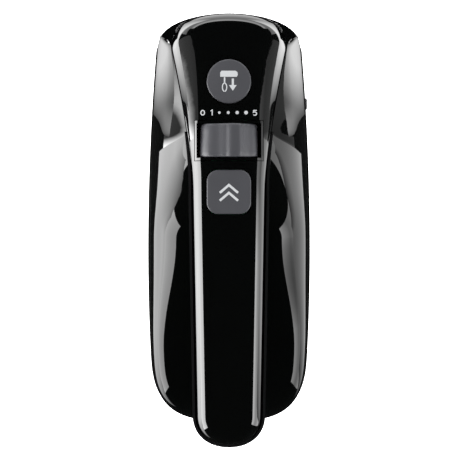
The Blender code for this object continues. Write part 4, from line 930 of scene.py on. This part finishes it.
def eject_mark(height):
    """A generic sign: a mixer's body over a whisk, with an arrow down."""
    y = EJECT_Y
    body = [(-0.0040, y + 0.0020), (-0.0040, y + 0.0040), (-0.0034, y + 0.0048), (0.0030, y + 0.0048)]
    body += [(0.0039, y + 0.0042), (0.0041, y + 0.0030), (0.0036, y + 0.0020)]
    shapes = [body, stroke([(-0.0020, y + 0.0018), (-0.0020, y - 0.0008)], 0.0007)]
    shapes.append(stroke(arc(-0.0020, y - 0.0028, 0.0010, 0.0019, 95, 265, 14), 0.0005))
    shapes.append(stroke(arc(-0.0020, y - 0.0028, 0.0010, 0.0019, -85, 85, 14), 0.0005))
    shapes.append(stroke([(0.0018, y + 0.0012), (0.0018, y - 0.0018)], 0.0010))
    shapes.append([(0.0000, y - 0.0018), (0.0036, y - 0.0018), (0.0018, y - 0.0044)])
    printed("eject_mark", shapes, height, "ejector")


def turbo_mark(height):
    shapes = []
    for y in (TURBO_Y - 0.0030, TURBO_Y + 0.0006):
        shapes.append(stroke([(-0.0042, y - 0.0010), (0.0, y + 0.0026), (0.0042, y - 0.0010)], 0.0011))
    printed("turbo_mark", shapes, height, "turbo")


# ------------------------------------------------------------------ beaters
def strip_outline(radius, low, high, neck, count=48):
    points = []
    for i in range(count + 1):
        t = i / count
        angle = math.pi * (1 - t)
        z = mix(low, high, (1 - math.cos(angle)) / 2)
        belly = max(0.0, math.sin(angle)) ** 0.62
        points.append((max(neck, radius * belly * (1 + 0.10 * math.cos(angle)) / 1.03), z))
    return points


def beater_loop(name, x, turn_deg, low, high):
    outer = strip_outline(CAGE_R, low, high, STRIP_THICK)
    centre_z = (low + high) / 2
    ring = outer + [(-r, z) for r, z in reversed(outer)]
    hole = []
    for i, (r, z) in enumerate(ring):
        pull = Vector((-r, centre_z - z)).normalized() * STRIP_THICK
        hole.append((
            r + pull.x if abs(r) > STRIP_THICK else math.copysign(max(0.0, abs(r) - abs(pull.x)), r),
            z + pull.y,
        ))
    turn = Matrix.Translation((x, EJECT_Y, 0)) @ Matrix.Rotation(math.radians(turn_deg), 4, "Z")
    half, soft = STRIP_WIDTH / 2, 0.0003
    section = [
        (0.0, half - soft), (soft / STRIP_THICK, half), (1 - soft / STRIP_THICK, half), (1.0, half - soft)
    ]
    section += [(share, -w) for share, w in reversed(section)]
    rows = []
    for share, w in section + section[:1]:
        line = [(mix(a[0], b[0], share), mix(a[1], b[1], share)) for a, b in zip(ring, hole)]
        rows.append([turn @ Vector((r, w, z)) for r, z in line])
    return made_object(name, surface(rows, around=True), 50)


def beaters():
    for side, hand, phase in ((-1, "left", 45.0), (1, "right", 0.0)):
        x = side * SPINDLE_X
        body = f"{hand}_beater"
        hub_low = CAGE_TOP_Z + 0.0022
        low = SPINDLE_BOTTOM_Z
        profile = [
            (0, SHANK_TOP_Z), (SHANK_R - 0.0007, SHANK_TOP_Z), (SHANK_R, SHANK_TOP_Z - 0.0012),
            (SHANK_R, low - 0.0012), (COLLAR_R - 0.0003, low - 0.0017), (COLLAR_R, low - 0.0021),
            (COLLAR_R, low - 0.0057), (COLLAR_R - 0.0003, low - 0.0061), (SHANK_R, low - 0.0075),
            (SHANK_R, hub_low + 0.0050), (0.0040, hub_low + 0.0038), (0.0042, hub_low + 0.0034),
            (0.0042, hub_low + 0.0003), (0.0039, hub_low), (0, hub_low),
        ]
        shank = lathe(f"{hand}_shank_skin", profile, 64, (x, EJECT_Y, 0))
        stand_in(shank, f"{body}_shank", body, CHROME)
        outer_top = hub_low - GAP
        step = STRIP_THICK + GAP
        for i, (turn, bottom, top) in enumerate(
            ((phase, CAGE_BOTTOM_Z, outer_top), (phase + 90, CAGE_BOTTOM_Z + step, outer_top - step))
        ):
            loop = beater_loop(f"{hand}_loop_skin_{i + 1}", x, turn, bottom, top)
            stand_in(loop, f"{body}_loop_{i + 1}", body, CHROME)


top_cover()
dial_bezel()
side_shells()
grip_liner()
lower_housing()
screws_and_sockets()
eject_mark(eject_button())
turbo_mark(turbo_button())
speed_dial()
ejector_spring()
dial_marks()
beaters()

# ------------------------------------------------------------------ stage and light
RELEASE_TRAVEL = 0.055  # how far a released beater drops
FLOOR_Z = CAGE_BOTTOM_Z + SHIFT.z - RELEASE_TRAVEL - 0.001
bm = bmesh.new()
bmesh.ops.create_grid(bm, x_segments=1, y_segments=1, size=6.0)
bmesh.ops.translate(bm, vec=(0, 0, FLOOR_Z), verts=bm.verts)
floor = made_object("floor", bm)
paint = Tree("floor_white")
paint.end(
    Base_Color=paint.tone((0.80, 0.80, 0.80), (0.84, 0.84, 0.84), paint.noise(3.0)),
    Roughness=0.8, Emission_Color=(1, 1, 1, 1), Emission_Strength=2.2,
)
floor.data.materials.append(paint.material)
floor.visible_glossy = False


def build_world():
    """White for the camera, soft and even for matte surfaces, and dark all round for what mirrors it; the bright
    walls that mirrors show are the cards made after it."""
    world = bpy.data.worlds.new("studio")
    bpy.context.scene.world = world
    world.use_nodes = True
    tree = world.node_tree
    tree.nodes.clear()

    def put(socket, value):
        if isinstance(value, bpy.types.NodeSocket):
            tree.links.new(value, socket)
        else:
            socket.default_value = value

    light = tree.nodes.new("ShaderNodeLightPath")

    def background(colour, strength):
        made = tree.nodes.new("ShaderNodeBackground")
        made.inputs["Color"].default_value = (*colour, 1)
        put(made.inputs["Strength"], strength)
        return made.outputs[0]

    def chosen(ray, first, second):
        made = tree.nodes.new("ShaderNodeMixShader")
        for socket, value in zip(made.inputs, (light.outputs[ray], first, second)):
            put(socket, value)
        return made.outputs[0]

    lit = chosen("Is Glossy Ray", background((0.98, 0.99, 1.0), SOFT_GLOW),
                 background((1, 1, 1), MIRRORED_GLOW))
    out = tree.nodes.new("ShaderNodeOutputWorld")
    put(out.inputs[0], chosen("Is Camera Ray", lit, background((1, 1, 1), 1.0)))


SOFT_GLOW, MIRRORED_GLOW = 0.9, 0.012
build_world()


def card(name, centre, across, up, glow, *fades):
    """A lit panel that only shows in what mirrors it. across and up are its half sides, and each fade is
    an axis, two places on it and the shares of the glow there."""
    bm = bmesh.new()
    centre, across, up = Vector(centre), Vector(across), Vector(up)
    corners = ((-1, -1), (1, -1), (1, 1), (-1, 1))
    bm.faces.new([bm.verts.new(centre + i * across + j * up) for i, j in corners])
    made = made_object(name, bm)
    lit = Tree(name)
    place = lit.node("ShaderNodeSeparateXYZ")
    lit.put(place, 0, lit.where)
    strength = glow
    for axis, start, end, first, last in fades:
        fade = lit.node("ShaderNodeMapRange", Value=place.outputs[axis])
        for key, number in (("From Min", start), ("From Max", end), ("To Min", first), ("To Max", last)):
            lit.put(fade, key, number)
        times = lit.node("ShaderNodeMath")
        times.operation = "MULTIPLY"
        lit.put(times, 0, fade.outputs["Result"])
        lit.put(times, 1, strength)
        strength = times.outputs[0]
    lit.end(Base_Color=(0, 0, 0, 1), Emission_Color=(1, 1, 1, 1), Emission_Strength=strength)
    made.data.materials.append(lit.material)
    made.visible_camera = made.visible_diffuse = made.visible_shadow = made.visible_transmission = False


CARD_Z = CAGE_BOTTOM_Z + SHIFT.z + 0.0194
WALL_X, WALL_TOP, WALL_LOW = 0.45, 0.095, -0.60
middle, half = (WALL_TOP + WALL_LOW) / 2, (WALL_TOP - WALL_LOW) / 2
card("left_wall", (-WALL_X, -0.10, middle), (0, 0.26, 0), (0, 0, half), 6.0, (1, 0.085, 0.130, 1.0, 0.04))
card("right_wall", (WALL_X, -0.06, middle), (0, 0.20, 0), (0, 0, half), 5.2,
     (1, 0.010, 0.095, 1.0, 0.10), (2, -0.12, 0.09, 0.35, 1.0))
card("left_rear_card", (-0.28, -0.08, CARD_Z), (0.16, 0, 0), (0, 0.16, 0), 4.8,
     (0, -0.12, -0.30, 0.42, 1.0), (1, -0.24, 0.0, 0.35, 1.0))
card("right_rear_card", (0.27, -0.01, CARD_Z), (0.17, 0, 0), (0, 0.09, 0), 1.1, (1, -0.10, -0.02, 0.1, 1.0))
for side, hand in ((-1, "left"), (1, "right")):
    card(f"{hand}_front_card", (side * 0.125, 0.304, CARD_Z), (0.075, 0, 0), (0, 0.20, 0), 3.0,
         (0, side * 0.05, side * 0.15, 0.2, 1.0), (1, 0.104, 0.130, 0.12, 1.0))
card("front_card", (0, 0.53, CARD_Z - 0.002), (0.60, 0, 0), (0, 0.33, 0), 0.9)
card("front_wall", (0, 0.75, middle + 0.06), (1.20, 0, 0), (0, 0, half), 3.3, (2, -0.35, 0.1, 0.12, 1.0))


def softbox(name, spot, aim, size, power):
    data = bpy.data.lights.new(name, "AREA")
    data.shape = "RECTANGLE"
    data.size, data.size_y = size
    data.energy = power
    made = bpy.data.objects.new(name, data)
    bpy.context.scene.collection.objects.link(made)
    made.location = spot
    made.rotation_euler = (Vector(aim) - Vector(spot)).to_track_quat("-Z", "Y").to_euler()
    return made


key = softbox("key", (-0.9, 0.5, 1.0), (0, 0.04, 0), (0.8, 1.2), 5.0)
key.visible_glossy = False

camera_data = bpy.data.cameras.new("camera")
camera_data.lens = 185.4
camera_data.sensor_width = 36.0
camera_data.clip_start, camera_data.clip_end = 0.05, 20.0
camera = bpy.data.objects.new("camera", camera_data)
bpy.context.scene.collection.objects.link(camera)
camera.location = (0.0005, 0.040, 1.104)
bpy.context.scene.camera = camera

scene = bpy.context.scene
scene.view_settings.view_transform = "Standard"
scene.view_settings.look = "None"
scene.cycles.max_bounces = 8
